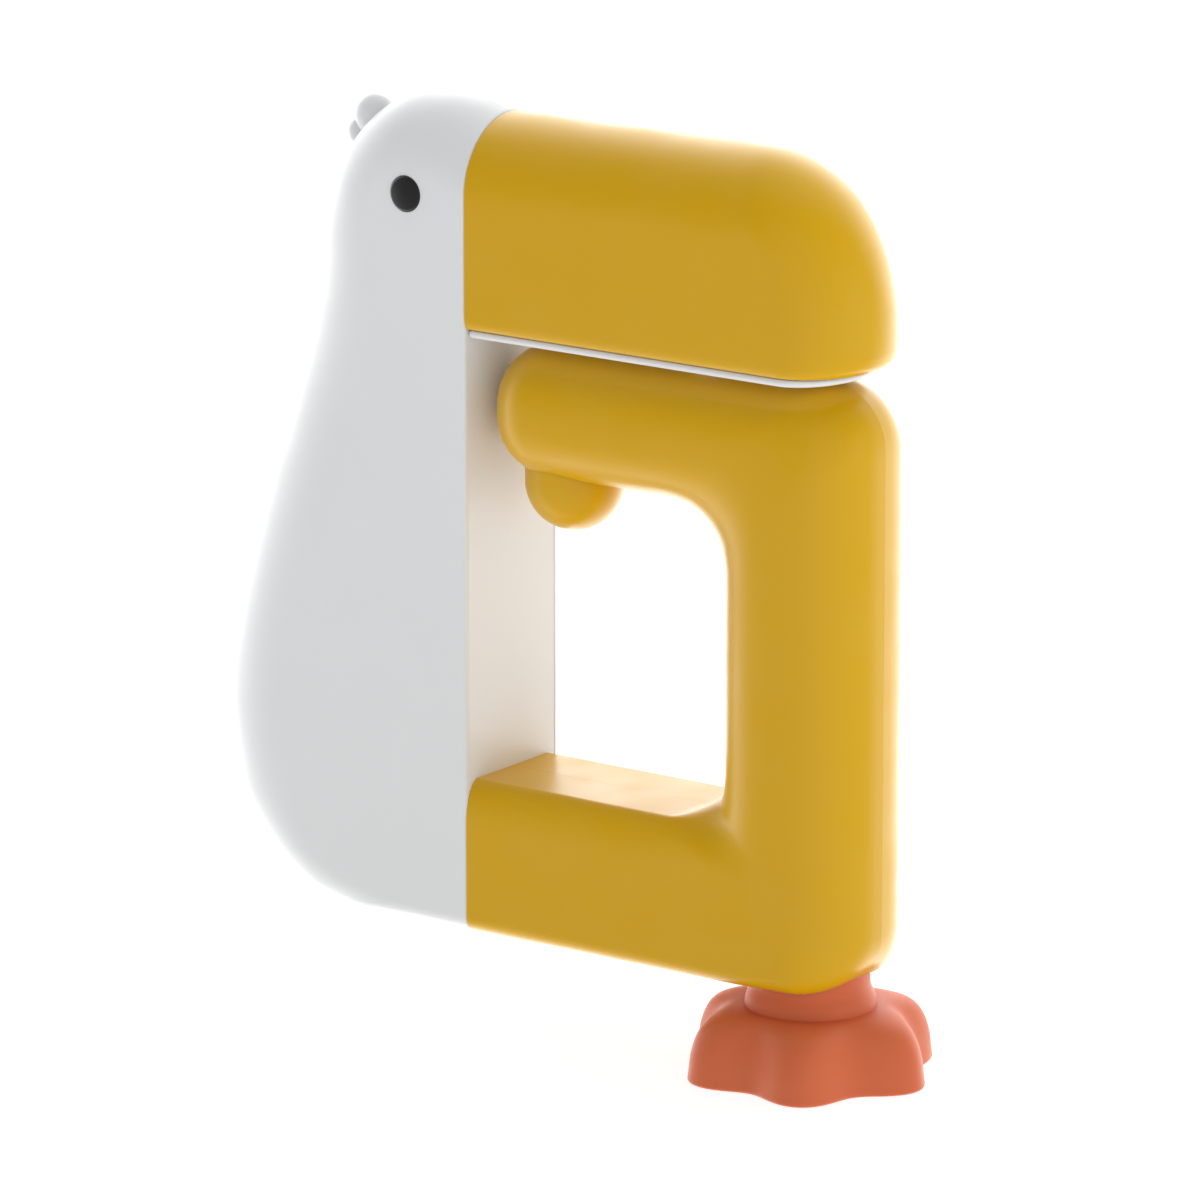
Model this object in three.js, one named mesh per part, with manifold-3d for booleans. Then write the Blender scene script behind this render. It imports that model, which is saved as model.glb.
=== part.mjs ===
/**
 * A hand-held, battery-driven water squirter for the pool, in the shape of a big-beaked bird.
 *
 * The white body is the grip and holds the battery, the motor and a gear pump. The yellow beak is
 * the barrel. The yellow loop below it is the finger guard: its upper arm carries the trigger ball
 * and its leg holds the water tank. The orange foot is the tank's screw cap, with the water inlet.
 *
 * Millimetres. +X is the way the beak points, +Y the bird's left, +Z up. While the parts are made,
 * X = 0 is the flat front face of the body and Z = 0 its flat bottom; the last lines move the whole
 * toy so that the origin is at the middle of its box, on the surface that the foot stands on.
 */
import * as THREE from 'three';
import { mergeVertices } from 'three/addons/utils/BufferGeometryUtils.js';
import Module from 'manifold-3d';

const wasm = await Module();
wasm.setup();

const { degToRad, lerp, smoothstep } = THREE.MathUtils;

// ---------------------------------------------------------------- driving dimensions

const HALF = 18.7; // half the thickness of body, beak and loop
const WALL = 2.2; // moulded shells
const GAP = 0.3; // between pieces that touch
const SEAM = GAP / 2; // from the middle plane to the edge of each half shell

const BODY_TOP = 199.7; // top of the front face
const BODY_CORNER = 4; // edge radius along the flat bottom
const BODY_BELLY = 30; // the outline has turned fully up by this height
const BODY_BACK = [
  [-50, 0], [-63, 4.2], [-72.5, 12], [-79.3, 22.5], [-82.6, 36], [-82.4, 52], [-79.6, 68],
  [-72.3, 93], [-64.7, 115], [-57.6, 136], [-53, 156], [-50.6, 171], [-46, 184.5], [-37.5, 195.6],
  [-27.5, 201.6], [-16.5, 203], [-7, 201.9], [0, BODY_TOP],
];
const RIM_WALL = 1.2; // shell edge round the front panel
const PANEL = 2.5; // thickness of the front panel
const LEDGE = 5; // depth of the ledge that the panel snaps behind

const BEAK_BOTTOM = 149.5;
const BEAK_LENGTH = 108;
const BEAK_SIDE_TOP = 181.3; // the sides are upright up to here
const BEAK_CURVE_X = 73; // the top line curves down from here
const BEAK_CURVE_Z = 157.7; // and meets the upright front here
const BEAK_EDGE = { side: 1.4, nose: 5, heights: [150.4, 152.2] };
const PLATE_BOTTOM = 147.2;
const PLATE_NOSE = 12.5; // length of the plate's rounded end
const PLATE_TOP = BEAK_BOTTOM - GAP;

const BAR_TOP = 38;
const LEG_INNER = 68.4;
const LEG_OUTER = 108.6;
const LEG_X = (LEG_INNER + LEG_OUTER) / 2;
const ARM_BOTTOM = 113.2;
const ARM_TOP = 146.4;
const ARM_TIP = 0.8; // gap between the arm's round end and the body
const ARM_END = 17; // centre of that round end
const CORNER = { innerLow: 11.5, innerHigh: 16.2, outerLow: 14, outerHigh: 15.6 };

const FOOT_BOTTOM = -23;
const FOOT_RADIUS = { lobe: 31.5, valley: 25.4 };
const FOOT_LOBES = 6;
const FOOT_TURN = -60.4; // degrees, to one lobe
const NECK_RADIUS = 14.2;
const THREAD = { pitch: 3, turns: 1.5, core: 10, crest: 11, capBore: 11.5, capCrest: 10.65 };

const TRIGGER = { x: 19, z: 112, radius: 12, clearance: 0.4 };
const TRIGGER_TRAVEL = 3;
const PUMP = { x: -42, z: 44, gearGap: 12 };
const GEAR = { module: 1, teeth: 12, height: 8, pressureAngle: 25, backlash: 0.15 };
const MOTOR = { radius: 12.2, bottom: 66, top: 97 };
const BATTERY = { radius: 9.2, length: 65, x: -26, bottom: 108 };
const HOSE = { outer: 2.9, inner: 1.9, play: 0.8 };
const EYE = { x: -17.4, z: 180.6, radius: 4.4 };

const BODY_SCREWS = [[-28, 190], [-47, 119], [-62, 87], [-61, 26]];
const LOOP_SCREWS = [[30, 28], [59, 8], [97, 133], [50, 131]];
const PLATE_SCREWS = [[62, -4.6], [44, 4.6]];
const BEAK_SCREWS = [[-9, 160], [9, 160]];
const BAR_SCREWS = [[-9, 29], [9, 29]];
const SCREW = { head: 2.5, headHeight: 1.8, shank: 1.1, length: 14, hole: 1.45 };
const HEAD_SEAT = 8; // how far from the middle plane the side screws' heads sit
const BOSS = { blind: 3.2, open: 4.4, headHole: 2.9 }; // radii of the screw posts

const CREST = {
  big: { x: -41.2, z: 193.6, radius: 5.4 },
  small: { x: -46, z: 187.8, radius: 3.7 },
  flatten: 0.85,
  stem: 1.6,
  stemStart: [-43, 0, 193],
  stemEnd: [-36, 0, 187.5],
};

const CHARGE = { x: -27.5, length: 9, width: 3.2, flapLength: 17, flapWidth: 10, pocket: 1.7 };

const NOZZLE = { x: 97.4, z: 147.6, drop: 30, radius: 1.6, length: 12, barb: 5 };
const SUCTION_Z = 17; // height of the hose from the tank
const DELIVERY_Z = 166; // height of the hose to the jet
const LEAD_Z = 156; // height of the trigger lead
const LEAD_HOLE_X = 33;
const LEAD_RADIUS = 0.9;
const LEAD_HOLE = 2;

const NECK_TOP = 4.4;
const TANK = { radius: 15, bottom: 7, top: 124, shoulder: 8, wall: 1.6, neckEnd: -12 };
const INLET = { filterRadius: 8, valveRadius: 3.6 };
const BOARD = { bottom: 8, thickness: 1.6, length: 34, width: 22 };

// Height, share of the mean radius, and how far the lobes show
const FOOT_PROFILE = [
  [FOOT_BOTTOM, 0.965, 0.95],
  [FOOT_BOTTOM + 0.9, 1, 1],
  [-16, 0.975, 0.97],
  [-12, 0.93, 0.93],
  [-9.2, 0.87, 0.83],
  [-7.4, 0.79, 0.62],
  [-6.4, 0.68, 0.32],
  [-6.6, 0.54, 0],
  [-5.8, 0.557, 0],
  [-4.6, 0.55, 0],
  [-2.8, 0.522, 0],
];

// How finely the curved surfaces are cut
const LOOP_EDGE_STEPS = 4; // facets round each quarter of a section
const STRAIGHT = 0.25; // share of a bend's outer route on each straight
const COARSE_BODY = { outlineSteps: 24, ringSteps: 4 }; // for hidden surfaces
const COARSE_LOOP = { bendSteps: 4, tipSteps: 2 }; // for hidden surfaces

// ---------------------------------------------------------------- finishes

const FINISH = {
  white: { color: 0xe8e8e6, roughness: 0.45, metalness: 0 },
  yellow: { color: 0xcf9f0c, roughness: 0.35, metalness: 0 },
  coral: { color: 0xdc7049, roughness: 0.7, metalness: 0 },
  eye: { color: 0x1d1d1f, roughness: 0.15, metalness: 0 },
  rubber: { color: 0x2a2b2d, roughness: 0.8, metalness: 0 },
  clear: { color: 0xd7e4e8, roughness: 0.15, metalness: 0 },
  grey: { color: 0x8b8f92, roughness: 0.5, metalness: 0 },
  steel: { color: 0xb9bcc0, roughness: 0.3, metalness: 1 },
  board: { color: 0x1f5d3a, roughness: 0.5, metalness: 0 },
  cell: { color: 0x2f6fa8, roughness: 0.4, metalness: 0 },
};

// ---------------------------------------------------------------- solids

/** Six times the signed volume of an indexed mesh; positive when its faces point out. */
function signedVolume(positions, index) {
  const corner = (i) => new THREE.Vector3().fromArray(positions, index[i] * 3);
  let sum = 0;
  for (let i = 0; i < index.length; i += 3) {
    sum += corner(i).dot(corner(i + 1).cross(corner(i + 2)));
  }
  return sum;
}

/** Turns a closed three.js geometry into a solid whose faces point out. */
function solidOf(geometry) {
  const bare = geometry.clone();
  bare.deleteAttribute('normal');
  bare.deleteAttribute('uv');
  const welded = mergeVertices(bare, 1e-4);
  const positions = new Float32Array(welded.getAttribute('position').array);
  const source = welded.getIndex().array;
  const index = [];
  for (let i = 0; i < source.length; i += 3) {
    const [a, b, c] = [source[i], source[i + 1], source[i + 2]];
    if (a !== b && b !== c && c !== a) {
      index.push(a, b, c);
    }
  }
  if (signedVolume(positions, index) < 0) {
    index.reverse();
  }
  return new wasm.Manifold(
    new wasm.Mesh({ numProp: 3, vertProperties: positions, triVerts: new Uint32Array(index) }),
  );
}

/** Turns a solid back into a geometry for a mesh. */
function geometryOf(solid) {
  const mesh = solid.getMesh();
  const geometry = new THREE.BufferGeometry();
  geometry.setAttribute('position', new THREE.BufferAttribute(mesh.vertProperties, 3));
  geometry.setIndex(new THREE.BufferAttribute(mesh.triVerts, 1));
  geometry.computeVertexNormals();
  return geometry;
}

function union(first, ...others) {
  return others.reduce((sum, next) => sum.add(next), first);
}

function cut(first, ...others) {
  return others.reduce((rest, next) => rest.subtract(next), first);
}

/** A box between two opposite corners. */
function block(low, high) {
  const size = high.map((value, axis) => value - low[axis]);
  const geometry = new THREE.BoxGeometry(...size);
  geometry.translate(...low.map((value, axis) => value + size[axis] / 2));
  return solidOf(geometry);
}

/** A round bar, or a cone, between two points. */
function rod(radius, start, end, sides = 16, endRadius = radius) {
  const from = new THREE.Vector3(...start);
  const along = new THREE.Vector3(...end).sub(from);
  const geometry = new THREE.CylinderGeometry(endRadius, radius, along.length(), sides);
  const turn = new THREE.Quaternion().setFromUnitVectors(
    new THREE.Vector3(0, 1, 0),
    along.clone().normalize(),
  );
  geometry.applyQuaternion(turn);
  geometry.translate(...from.addScaledVector(along, 0.5).toArray());
  return solidOf(geometry);
}

/** A turned solid about Z from [radius, height] points; the outline closes on the axis or itself. */
function turned(profile, sides = 24, place = [0, 0, 0]) {
  const points = profile.map(([radius, height]) => new THREE.Vector2(radius, height));
  const geometry = new THREE.LatheGeometry(points, sides);
  geometry.rotateX(Math.PI / 2);
  geometry.translate(...place);
  return solidOf(geometry);
}

/** A flat shape drawn on (x, y) and raised along Z between two heights. */
function raised(shape, bottom, top, curveSegments = 8) {
  const geometry = new THREE.ExtrudeGeometry(shape, {
    depth: top - bottom,
    bevelEnabled: false,
    curveSegments,
  });
  geometry.translate(0, 0, bottom);
  return solidOf(geometry);
}

/** Joins rings of equal length, one after the other, and closes both ends. */
function loft(rings) {
  const size = rings[0].length;
  const hubOf = (ring) => ring.reduce((sum, p) => sum.add(p), new THREE.Vector3()).divideScalar(size);
  const points = [...rings.flat(), hubOf(rings[0]), hubOf(rings.at(-1))];
  const lastRing = (rings.length - 1) * size;
  const index = [];
  for (let i = 0; i < size; i += 1) {
    const next = (i + 1) % size;
    for (let low = 0; low < lastRing; low += size) {
      const high = low + size;
      index.push(low + i, low + next, high + next, low + i, high + next, high + i);
    }
    index.push(points.length - 2, next, i);
    index.push(points.length - 1, lastRing + i, lastRing + next);
  }
  const geometry = new THREE.BufferGeometry().setFromPoints(points);
  geometry.setIndex(index);
  return solidOf(geometry);
}

/** A solid or hollow round section swept through points. */
function swept(route, radius, { bore = 0, steps = 24, sides = 8 } = {}) {
  const path = new THREE.CatmullRomCurve3(route.map((point) => new THREE.Vector3(...point)));
  const section = new THREE.Shape().absarc(0, 0, radius, 0, Math.PI * 2);
  if (bore > 0) {
    section.holes.push(new THREE.Path().absarc(0, 0, bore, 0, Math.PI * 2, true));
  }
  return solidOf(new THREE.ExtrudeGeometry(section, {
    extrudePath: path,
    steps,
    curveSegments: sides / 2, // a full circle gets twice as many
  }));
}

/** One side of the middle plane: -1 for the bird's right, 1 for its left. */
function halfSpace(side) {
  const near = side * SEAM;
  const far = side * 100;
  return block([-200, Math.min(near, far), -100], [200, Math.max(near, far), 300]);
}

/** Adds a named mesh to a group. */
function addPart(parent, name, solid, finish, place = [0, 0, 0], turn = [0, 0, 0]) {
  const mesh = new THREE.Mesh(geometryOf(solid), new THREE.MeshStandardMaterial(finish));
  mesh.name = name;
  mesh.position.set(...place);
  mesh.rotation.set(...turn);
  parent.add(mesh);
}

/** A nested group at a place. */
function addGroup(parent, place) {
  const group = new THREE.Group();
  group.position.set(...place);
  parent.add(group);
  return group;
}

// ---------------------------------------------------------------- screws and their bosses

/** A slotted self-tapping screw along -Z, with the underside of its head at the origin. */
function screw(length = SCREW.length) {
  const body = turned([
    [0, -length], [SCREW.shank, 1.5 - length], [SCREW.shank, 0], [SCREW.head, 0],
    [SCREW.head, SCREW.headHeight], [0, SCREW.headHeight],
  ], 8);
  const slotLow = SCREW.headHeight - 0.9;
  return cut(body, block([-1.6, -0.35, slotLow], [1.6, 0.35, SCREW.headHeight + 1]));
}

/** The post that a side screw bites into, on the right half. */
function blindBoss([x, z], depth) {
  return rod(BOSS.blind, [x, -depth, z], [x, -SEAM, z], 10);
}

/** The hole for a side screw's thread, in the right half. */
function blindHole([x, z]) {
  return rod(SCREW.hole, [x, -9, z], [x, 1, z], 8);
}

/** The post that a side screw's head sits in, on the left half. */
function openBoss([x, z], depth) {
  return rod(BOSS.open, [x, SEAM, z], [x, depth, z], 10);
}

/** The stepped hole for a side screw, through the left half. */
function openHole([x, z]) {
  return union(
    rod(SCREW.hole, [x, -1, z], [x, 30, z], 8),
    rod(BOSS.headHole, [x, HEAD_SEAT, z], [x, 30, z], 12),
  );
}

// ---------------------------------------------------------------- body

/** How far the outline has turned from the flat bottom to the soft back: 0 to 1. */
function softness(point, inward) {
  return point.z < BODY_BELLY ? smoothstep(inward.x, 0, 0.6) : 1;
}

/** Depth of the edge between the flat side and the outline. */
function edgeDepth(point, inward) {
  return BODY_CORNER + 22.5 * softness(point, inward) - 8.1 * smoothstep(point.z, 140, 190);
}

/**
 * Where the surface lies at one step (-1 to 1) across the thickness: y, and how far it has drawn
 * in from the outline. The edge is a plain radius at the bottom and an ellipse above.
 */
function acrossThickness(step, depth, soft, half, corner) {
  const side = Math.sign(step);
  const amount = Math.abs(step);
  const angle = amount * Math.PI / 2;
  const cornerAngle = Math.max(0, amount - 0.5) * Math.PI;
  const flatPart = Math.min(1, amount / 0.5) * (half - corner);
  return {
    y: side * lerp(flatPart + corner * Math.sin(cornerAngle), half * Math.sin(angle), soft),
    inset: lerp(corner * (1 - Math.cos(cornerAngle)), depth * (1 - Math.cos(angle)), soft),
  };
}

/** Points and inward directions round the side view, from the front bottom round to the front top. */
function bodyOutline(steps) {
  const curve = new THREE.CatmullRomCurve3(
    BODY_BACK.map(([x, z]) => new THREE.Vector3(x, 0, z)),
    false,
    'centripetal',
  );
  const points = [
    new THREE.Vector3(0, 0, 0),
    new THREE.Vector3(BODY_BACK[0][0] / 2, 0, 0),
    ...curve.getSpacedPoints(steps),
  ];
  return points.map((point, i) => {
    const before = points[Math.max(0, i - 1)];
    const after = points[Math.min(points.length - 1, i + 1)];
    const along = after.clone().sub(before).normalize();
    const inward = new THREE.Vector3(along.z, 0, -along.x);
    if (point.x === 0) {
      inward.set(0, 0, Math.sign(inward.z));
    }
    return { point, inward };
  });
}

/** The whole body, drawn in by a distance all round; the front face moves by frontShift instead. */
function bodySolid(drawIn, frontShift, { outlineSteps = 34, ringSteps = 6 } = {}) {
  const outline = bodyOutline(outlineSteps);
  const rings = [];
  for (let i = -ringSteps; i <= ringSteps; i += 1) {
    rings.push(outline.map(({ point, inward }) => {
      const { y, inset } = acrossThickness(
        i / ringSteps,
        edgeDepth(point, inward),
        softness(point, inward),
        HALF - drawIn,
        BODY_CORNER - drawIn / 2,
      );
      const place = point.clone().addScaledVector(inward, drawIn + inset).setY(y);
      return point.x === 0 ? place.setX(frontShift) : place;
    }));
  }
  return loft(rings);
}

/** The outline of the front face, drawn in, as a shape on (y, z). */
function frontShape(drawIn) {
  const half = HALF - drawIn;
  const corner = BODY_CORNER - drawIn;
  const shape = new THREE.Shape();
  shape.moveTo(-half + corner, drawIn);
  shape.lineTo(half - corner, drawIn);
  shape.absarc(half - corner, drawIn + corner, corner, -Math.PI / 2, 0);
  shape.absellipse(0, BEAK_SIDE_TOP, half, BODY_TOP - BEAK_SIDE_TOP - drawIn, 0, Math.PI);
  shape.absarc(-half + corner, drawIn + corner, corner, Math.PI, Math.PI * 1.5);
  return shape;
}

/** A slab with the outline of the front face, between two X positions. */
function frontSlab(drawIn, back, front) {
  const geometry = new THREE.ExtrudeGeometry(frontShape(drawIn), {
    depth: front - back,
    bevelEnabled: false,
    curveSegments: 7,
  });
  geometry.rotateX(Math.PI / 2);
  geometry.rotateZ(Math.PI / 2);
  geometry.translate(back, 0, 0);
  return solidOf(geometry);
}

/** A shelf across the body that holds a round part in its cut-out. */
function saddle(z, partRadius, partX, inside) {
  const shelf = block([partX - partRadius - 6, -30, z], [partX + partRadius + 3, 30, z + 2]);
  const opening = rod(partRadius + 0.5, [partX, 0, z - 1], [partX, 0, z + 3], 24);
  const slot = block([partX - partRadius - 9, -6, z - 1], [partX + partRadius + 9, 6, z + 3]);
  return cut(shelf, opening, slot).intersect(inside);
}

/** The pocket for the charging flap and the socket's opening behind it, in the flat bottom. */
function chargeOpening() {
  const { x, length, width, flapLength, flapWidth, pocket } = CHARGE;
  return union(
    block(
      [x - flapLength / 2 - GAP, -flapWidth / 2 - GAP, -5],
      [x + flapLength / 2 + GAP, flapWidth / 2 + GAP, pocket],
    ),
    block([x - length / 2 - 1, -width / 2 - 1, -5], [x + length / 2 + 1, width / 2 + 1, 4]),
  );
}

/** Both halves of the body shell, still as one solid with its inside cut out. */
function bodyShellSolid() {
  const outer = bodySolid(0, 0);
  const inside = bodySolid(WALL, 1, COARSE_BODY);
  const backing = bodySolid(1, 0, COARSE_BODY);
  const ledge = cut(frontSlab(1, -LEDGE, -PANEL - GAP), frontSlab(3.2, -LEDGE - 1, 0));
  const chargeFrame = block([CHARGE.x - 12, -9, 1], [CHARGE.x + 12, 9, 3.4]);
  const details = [
    ledge,
    chargeFrame,
    saddle(80, MOTOR.radius, PUMP.x, backing),
    saddle(118, BATTERY.radius, BATTERY.x, backing),
    saddle(160, BATTERY.radius, BATTERY.x, backing),
  ];
  return cut(
    union(cut(outer, inside), ...details),
    frontSlab(RIM_WALL, -PANEL - GAP, 1),
    chargeOpening(),
    eyeSocket(-1),
    eyeSocket(1),
    rod(CREST.stem + GAP, CREST.stemStart, CREST.stemEnd, 10),
  );
}

/** The shallow round recess for an eye. */
function eyeSocket(side) {
  return rod(
    EYE.radius + GAP,
    [EYE.x, side * (HALF - 1.2), EYE.z],
    [EYE.x, side * (HALF + 3), EYE.z],
    28,
  );
}

function addBodyShells(parent) {
  const shell = bodyShellSolid();
  const backing = bodySolid(1, -LEDGE, COARSE_BODY);
  const right = cut(
    union(shell, ...BODY_SCREWS.map((spot) => blindBoss(spot, HALF).intersect(backing))),
    ...BODY_SCREWS.map(blindHole),
  ).intersect(halfSpace(-1));
  const left = cut(
    union(shell, ...BODY_SCREWS.map((spot) => openBoss(spot, HALF).intersect(backing))),
    ...BODY_SCREWS.map(openHole),
  ).intersect(halfSpace(1));
  addPart(parent, 'body_shell_right', right, FINISH.white);
  addPart(parent, 'body_shell_left', left, FINISH.white);
  BODY_SCREWS.forEach(([x, z], i) => {
    const place = [x, HEAD_SEAT + GAP, z];
    addPart(parent, `body_screw_${i + 1}`, screw(), FINISH.steel, place, [-Math.PI / 2, 0, 0]);
  });
}

/** A springy hook behind the front panel that catches the ledge inside the shell. */
function panelHook(side, z) {
  const outer = side * (HALF - 3.2 - GAP);
  const inner = outer - side * 1.4;
  const nib = outer + side * 0.8;
  const sorted = (a, b) => [Math.min(a, b), Math.max(a, b)];
  const [stemLow, stemHigh] = sorted(inner, outer);
  const [nibLow, nibHigh] = sorted(inner, nib);
  return union(
    block([-LEDGE - 2.4, stemLow, z - 5], [-PANEL + 1, stemHigh, z + 5]),
    block([-LEDGE - 2.4, nibLow, z - 5], [-LEDGE - GAP, nibHigh, z + 5]),
  );
}

/** A hole through the front panel along X. */
function panelHole(y, z, radius) {
  return rod(radius, [-10, y, z], [5, y, z], 10);
}

function addFrontPanel(parent) {
  const hooks = [60, 125].flatMap((z) => [panelHook(-1, z), panelHook(1, z)]);
  const holes = [
    panelHole(0, SUCTION_Z, HOSE.outer + HOSE.play),
    panelHole(0, DELIVERY_Z, HOSE.outer + HOSE.play),
    panelHole(-5, LEAD_Z, LEAD_HOLE),
    ...[...BEAK_SCREWS, ...BAR_SCREWS].map(([y, z]) => panelHole(y, z, SCREW.hole)),
  ];
  const panel = cut(union(frontSlab(RIM_WALL + GAP, -PANEL, 0), ...hooks), ...holes);
  addPart(parent, 'front_panel', panel, FINISH.white);
  BEAK_SCREWS.forEach(([y, z], i) => {
    const place = [-PANEL - GAP, y, z];
    addPart(parent, `beak_screw_${i + 1}`, screw(9), FINISH.steel, place, [0, -Math.PI / 2, 0]);
  });
  BAR_SCREWS.forEach(([y, z], i) => {
    const place = [-PANEL - GAP, y, z];
    addPart(parent, `bar_screw_${i + 1}`, screw(9), FINISH.steel, place, [0, -Math.PI / 2, 0]);
  });
}

// ---------------------------------------------------------------- eyes and crest

/** A domed disc that fills its socket. */
function addEyes(parent) {
  const dome = [0, 1, 2, 3].map((i) => {
    const angle = degToRad(i * 30);
    return [EYE.radius * Math.cos(angle), 1 + 1.1 * Math.sin(angle)];
  });
  const disc = turned([[0, 0], [EYE.radius, 0], ...dome], 24);
  const place = (side) => [EYE.x, side * (HALF - 1.2 + GAP), EYE.z];
  addPart(parent, 'eye_right', disc, FINISH.eye, place(-1), [Math.PI / 2, 0, 0]);
  addPart(parent, 'eye_left', disc, FINISH.eye, place(1), [-Math.PI / 2, 0, 0]);
}

/** A round tuft of the crest. */
function tuft({ x, z, radius }) {
  const geometry = new THREE.SphereGeometry(radius, 12, 8);
  geometry.scale(1, CREST.flatten, 1);
  geometry.translate(x, 0, z);
  return solidOf(geometry);
}

function addCrest(parent) {
  const head = bodySolid(-GAP, 0);
  const tufts = cut(union(tuft(CREST.big), tuft(CREST.small)), head);
  const stem = rod(CREST.stem, CREST.stemStart, CREST.stemEnd, 10);
  addPart(parent, 'crest', union(tufts, stem), FINISH.white);
}

// ---------------------------------------------------------------- beak

/** Half width of the beak at a height. */
function beakHalfWidth(z) {
  const rise = Math.max(0, z - BEAK_SIDE_TOP) / (BODY_TOP - BEAK_SIDE_TOP);
  return HALF * Math.sqrt(Math.max(0, 1 - rise * rise));
}

/** Length of the beak at a height. */
function beakLength(z) {
  const rise = Math.max(0, z - BEAK_CURVE_Z) / (BODY_TOP - BEAK_CURVE_Z);
  return BEAK_CURVE_X + (BEAK_LENGTH - BEAK_CURVE_X) * Math.sqrt(Math.max(0, 1 - rise * rise));
}

/** How far the beak's lower edge has drawn in at a height, for an edge of a given size. */
function lowerEdge(z, size) {
  const drop = Math.min(1, Math.max(0, 1 - (z - BEAK_BOTTOM) / size));
  return size * (1 - Math.sqrt(1 - drop * drop));
}

/** A level slice of the beak: straight sides and a rounded nose. */
function beakSlice(z, drawIn, back, noseSteps, height = z) {
  const side = beakHalfWidth(z);
  const half = side - drawIn - lowerEdge(z, BEAK_EDGE.side);
  const noseStart = beakLength(z) - side;
  const nose = side - drawIn - lowerEdge(z, BEAK_EDGE.nose);
  const slice = [new THREE.Vector3(back, -half, height)];
  for (let i = 0; i <= noseSteps; i += 1) {
    const angle = -Math.PI / 2 + (Math.PI * i) / noseSteps;
    slice.push(new THREE.Vector3(noseStart + nose * Math.cos(angle), half * Math.sin(angle), height));
  }
  slice.push(new THREE.Vector3(back, half, height));
  return slice;
}

/** The beak as one solid, drawn in by a wall thickness. */
function beakSolid(drawIn, back, bottom, { noseSteps = 16, topSteps = 6 } = {}) {
  const rise = BODY_TOP - BEAK_SIDE_TOP - drawIn;
  const slices = [bottom, ...BEAK_EDGE.heights, 160, 171].map(
    (z) => beakSlice(Math.max(z, BEAK_BOTTOM), drawIn, back, noseSteps, z),
  );
  for (let i = 0; i < topSteps; i += 1) {
    const angle = (Math.PI / 2) * (i / topSteps);
    const outerZ = BEAK_SIDE_TOP + (rise + drawIn) * Math.sin(angle);
    const height = BEAK_SIDE_TOP + rise * Math.sin(angle);
    slices.push(beakSlice(outerZ, drawIn * Math.cos(angle), back, noseSteps, height));
  }
  const crown = beakSlice(BODY_TOP - 0.06, 0, back, noseSteps, BEAK_SIDE_TOP + rise);
  slices.push(crown);
  return loft(slices);
}

/** The underplate's plan, drawn in from the beak's sides, as a flat shape. */
function platePlan(drawIn, back) {
  const half = HALF - drawIn;
  const nose = PLATE_NOSE + 1 - drawIn;
  const shape = new THREE.Shape();
  shape.moveTo(back, -half);
  shape.absellipse(BEAK_LENGTH - HALF, 0, nose, half, -Math.PI / 2, Math.PI / 2);
  shape.lineTo(back, half);
  return shape;
}

/** A point on the nozzle's axis, a distance back from its mouth. */
function nozzlePoint(back) {
  const angle = degToRad(NOZZLE.drop);
  return [NOZZLE.x - back * Math.cos(angle), 0, NOZZLE.z + back * Math.sin(angle)];
}

function addBeak(parent) {
  const back = GAP;
  const hollow = beakSolid(WALL, back + WALL, BEAK_BOTTOM - 1, { noseSteps: 10, topSteps: 4 });
  const posts = BEAK_SCREWS.map(([y, z]) => rod(BOSS.blind, [back + 0.5, y, z], [10, y, z], 10));
  const shell = cut(
    union(cut(beakSolid(0, back, BEAK_BOTTOM), hollow), ...posts),
    ...BEAK_SCREWS.map(([y, z]) => rod(SCREW.hole, [-1, y, z], [9, y, z], 8)),
    rod(HOSE.outer + HOSE.play, [-1, 0, DELIVERY_Z], [5, 0, DELIVERY_Z], 10),
    rod(LEAD_HOLE, [-1, -5, LEAD_Z], [5, -5, LEAD_Z], 10),
  );
  addPart(parent, 'beak_shell', shell, FINISH.yellow);

  const ribOuter = HALF - WALL - 1.6;
  const ribs = [-ribOuter, ribOuter - 1.6].map((low) => block(
    [back + WALL + GAP, low, PLATE_TOP - 0.5],
    [BEAK_LENGTH - HALF, low + 1.6, PLATE_TOP + 3],
  ));
  const pads = PLATE_SCREWS.map(([x, y]) => rod(4, [x, y, 143], [x, y, PLATE_BOTTOM + 1], 10));
  const plate = cut(
    union(raised(platePlan(1, back), PLATE_BOTTOM, PLATE_TOP), ...ribs, ...pads),
    loopSolid(-GAP),
    ...PLATE_SCREWS.map(([x, y]) => rod(SCREW.hole, [x, y, 140], [x, y, 155], 10)),
    rod(LEAD_HOLE, [LEAD_HOLE_X, -5, 140], [LEAD_HOLE_X, -5, 155], 10),
    rod(NOZZLE.radius + 0.4, nozzlePoint(-8), nozzlePoint(12), 12),
  );
  addPart(parent, 'beak_underplate', plate, FINISH.white);
  PLATE_SCREWS.forEach(([x, y], i) => {
    addPart(parent, `plate_screw_${i + 1}`, screw(11), FINISH.steel, [x, y, PLATE_TOP + GAP]);
  });
}

/** The jet, a turned acetal tip pointing forward and down under the beak. */
function addNozzle(parent) {
  const { length, barb, radius } = NOZZLE;
  const outline = [
    [0.6, 0], [radius, 0], [radius, length - 2], [3.2, length - 2], [3.2, length], [1.3, length],
    [1.3, length + barb], [0.6, length + barb],
  ];
  const nozzle = turned([...outline, outline[0]], 14);
  const turn = [0, degToRad(NOZZLE.drop - 90), 0];
  addPart(parent, 'nozzle', nozzle, FINISH.grey, nozzlePoint(0), turn);
}

// ---------------------------------------------------------------- loop

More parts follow.
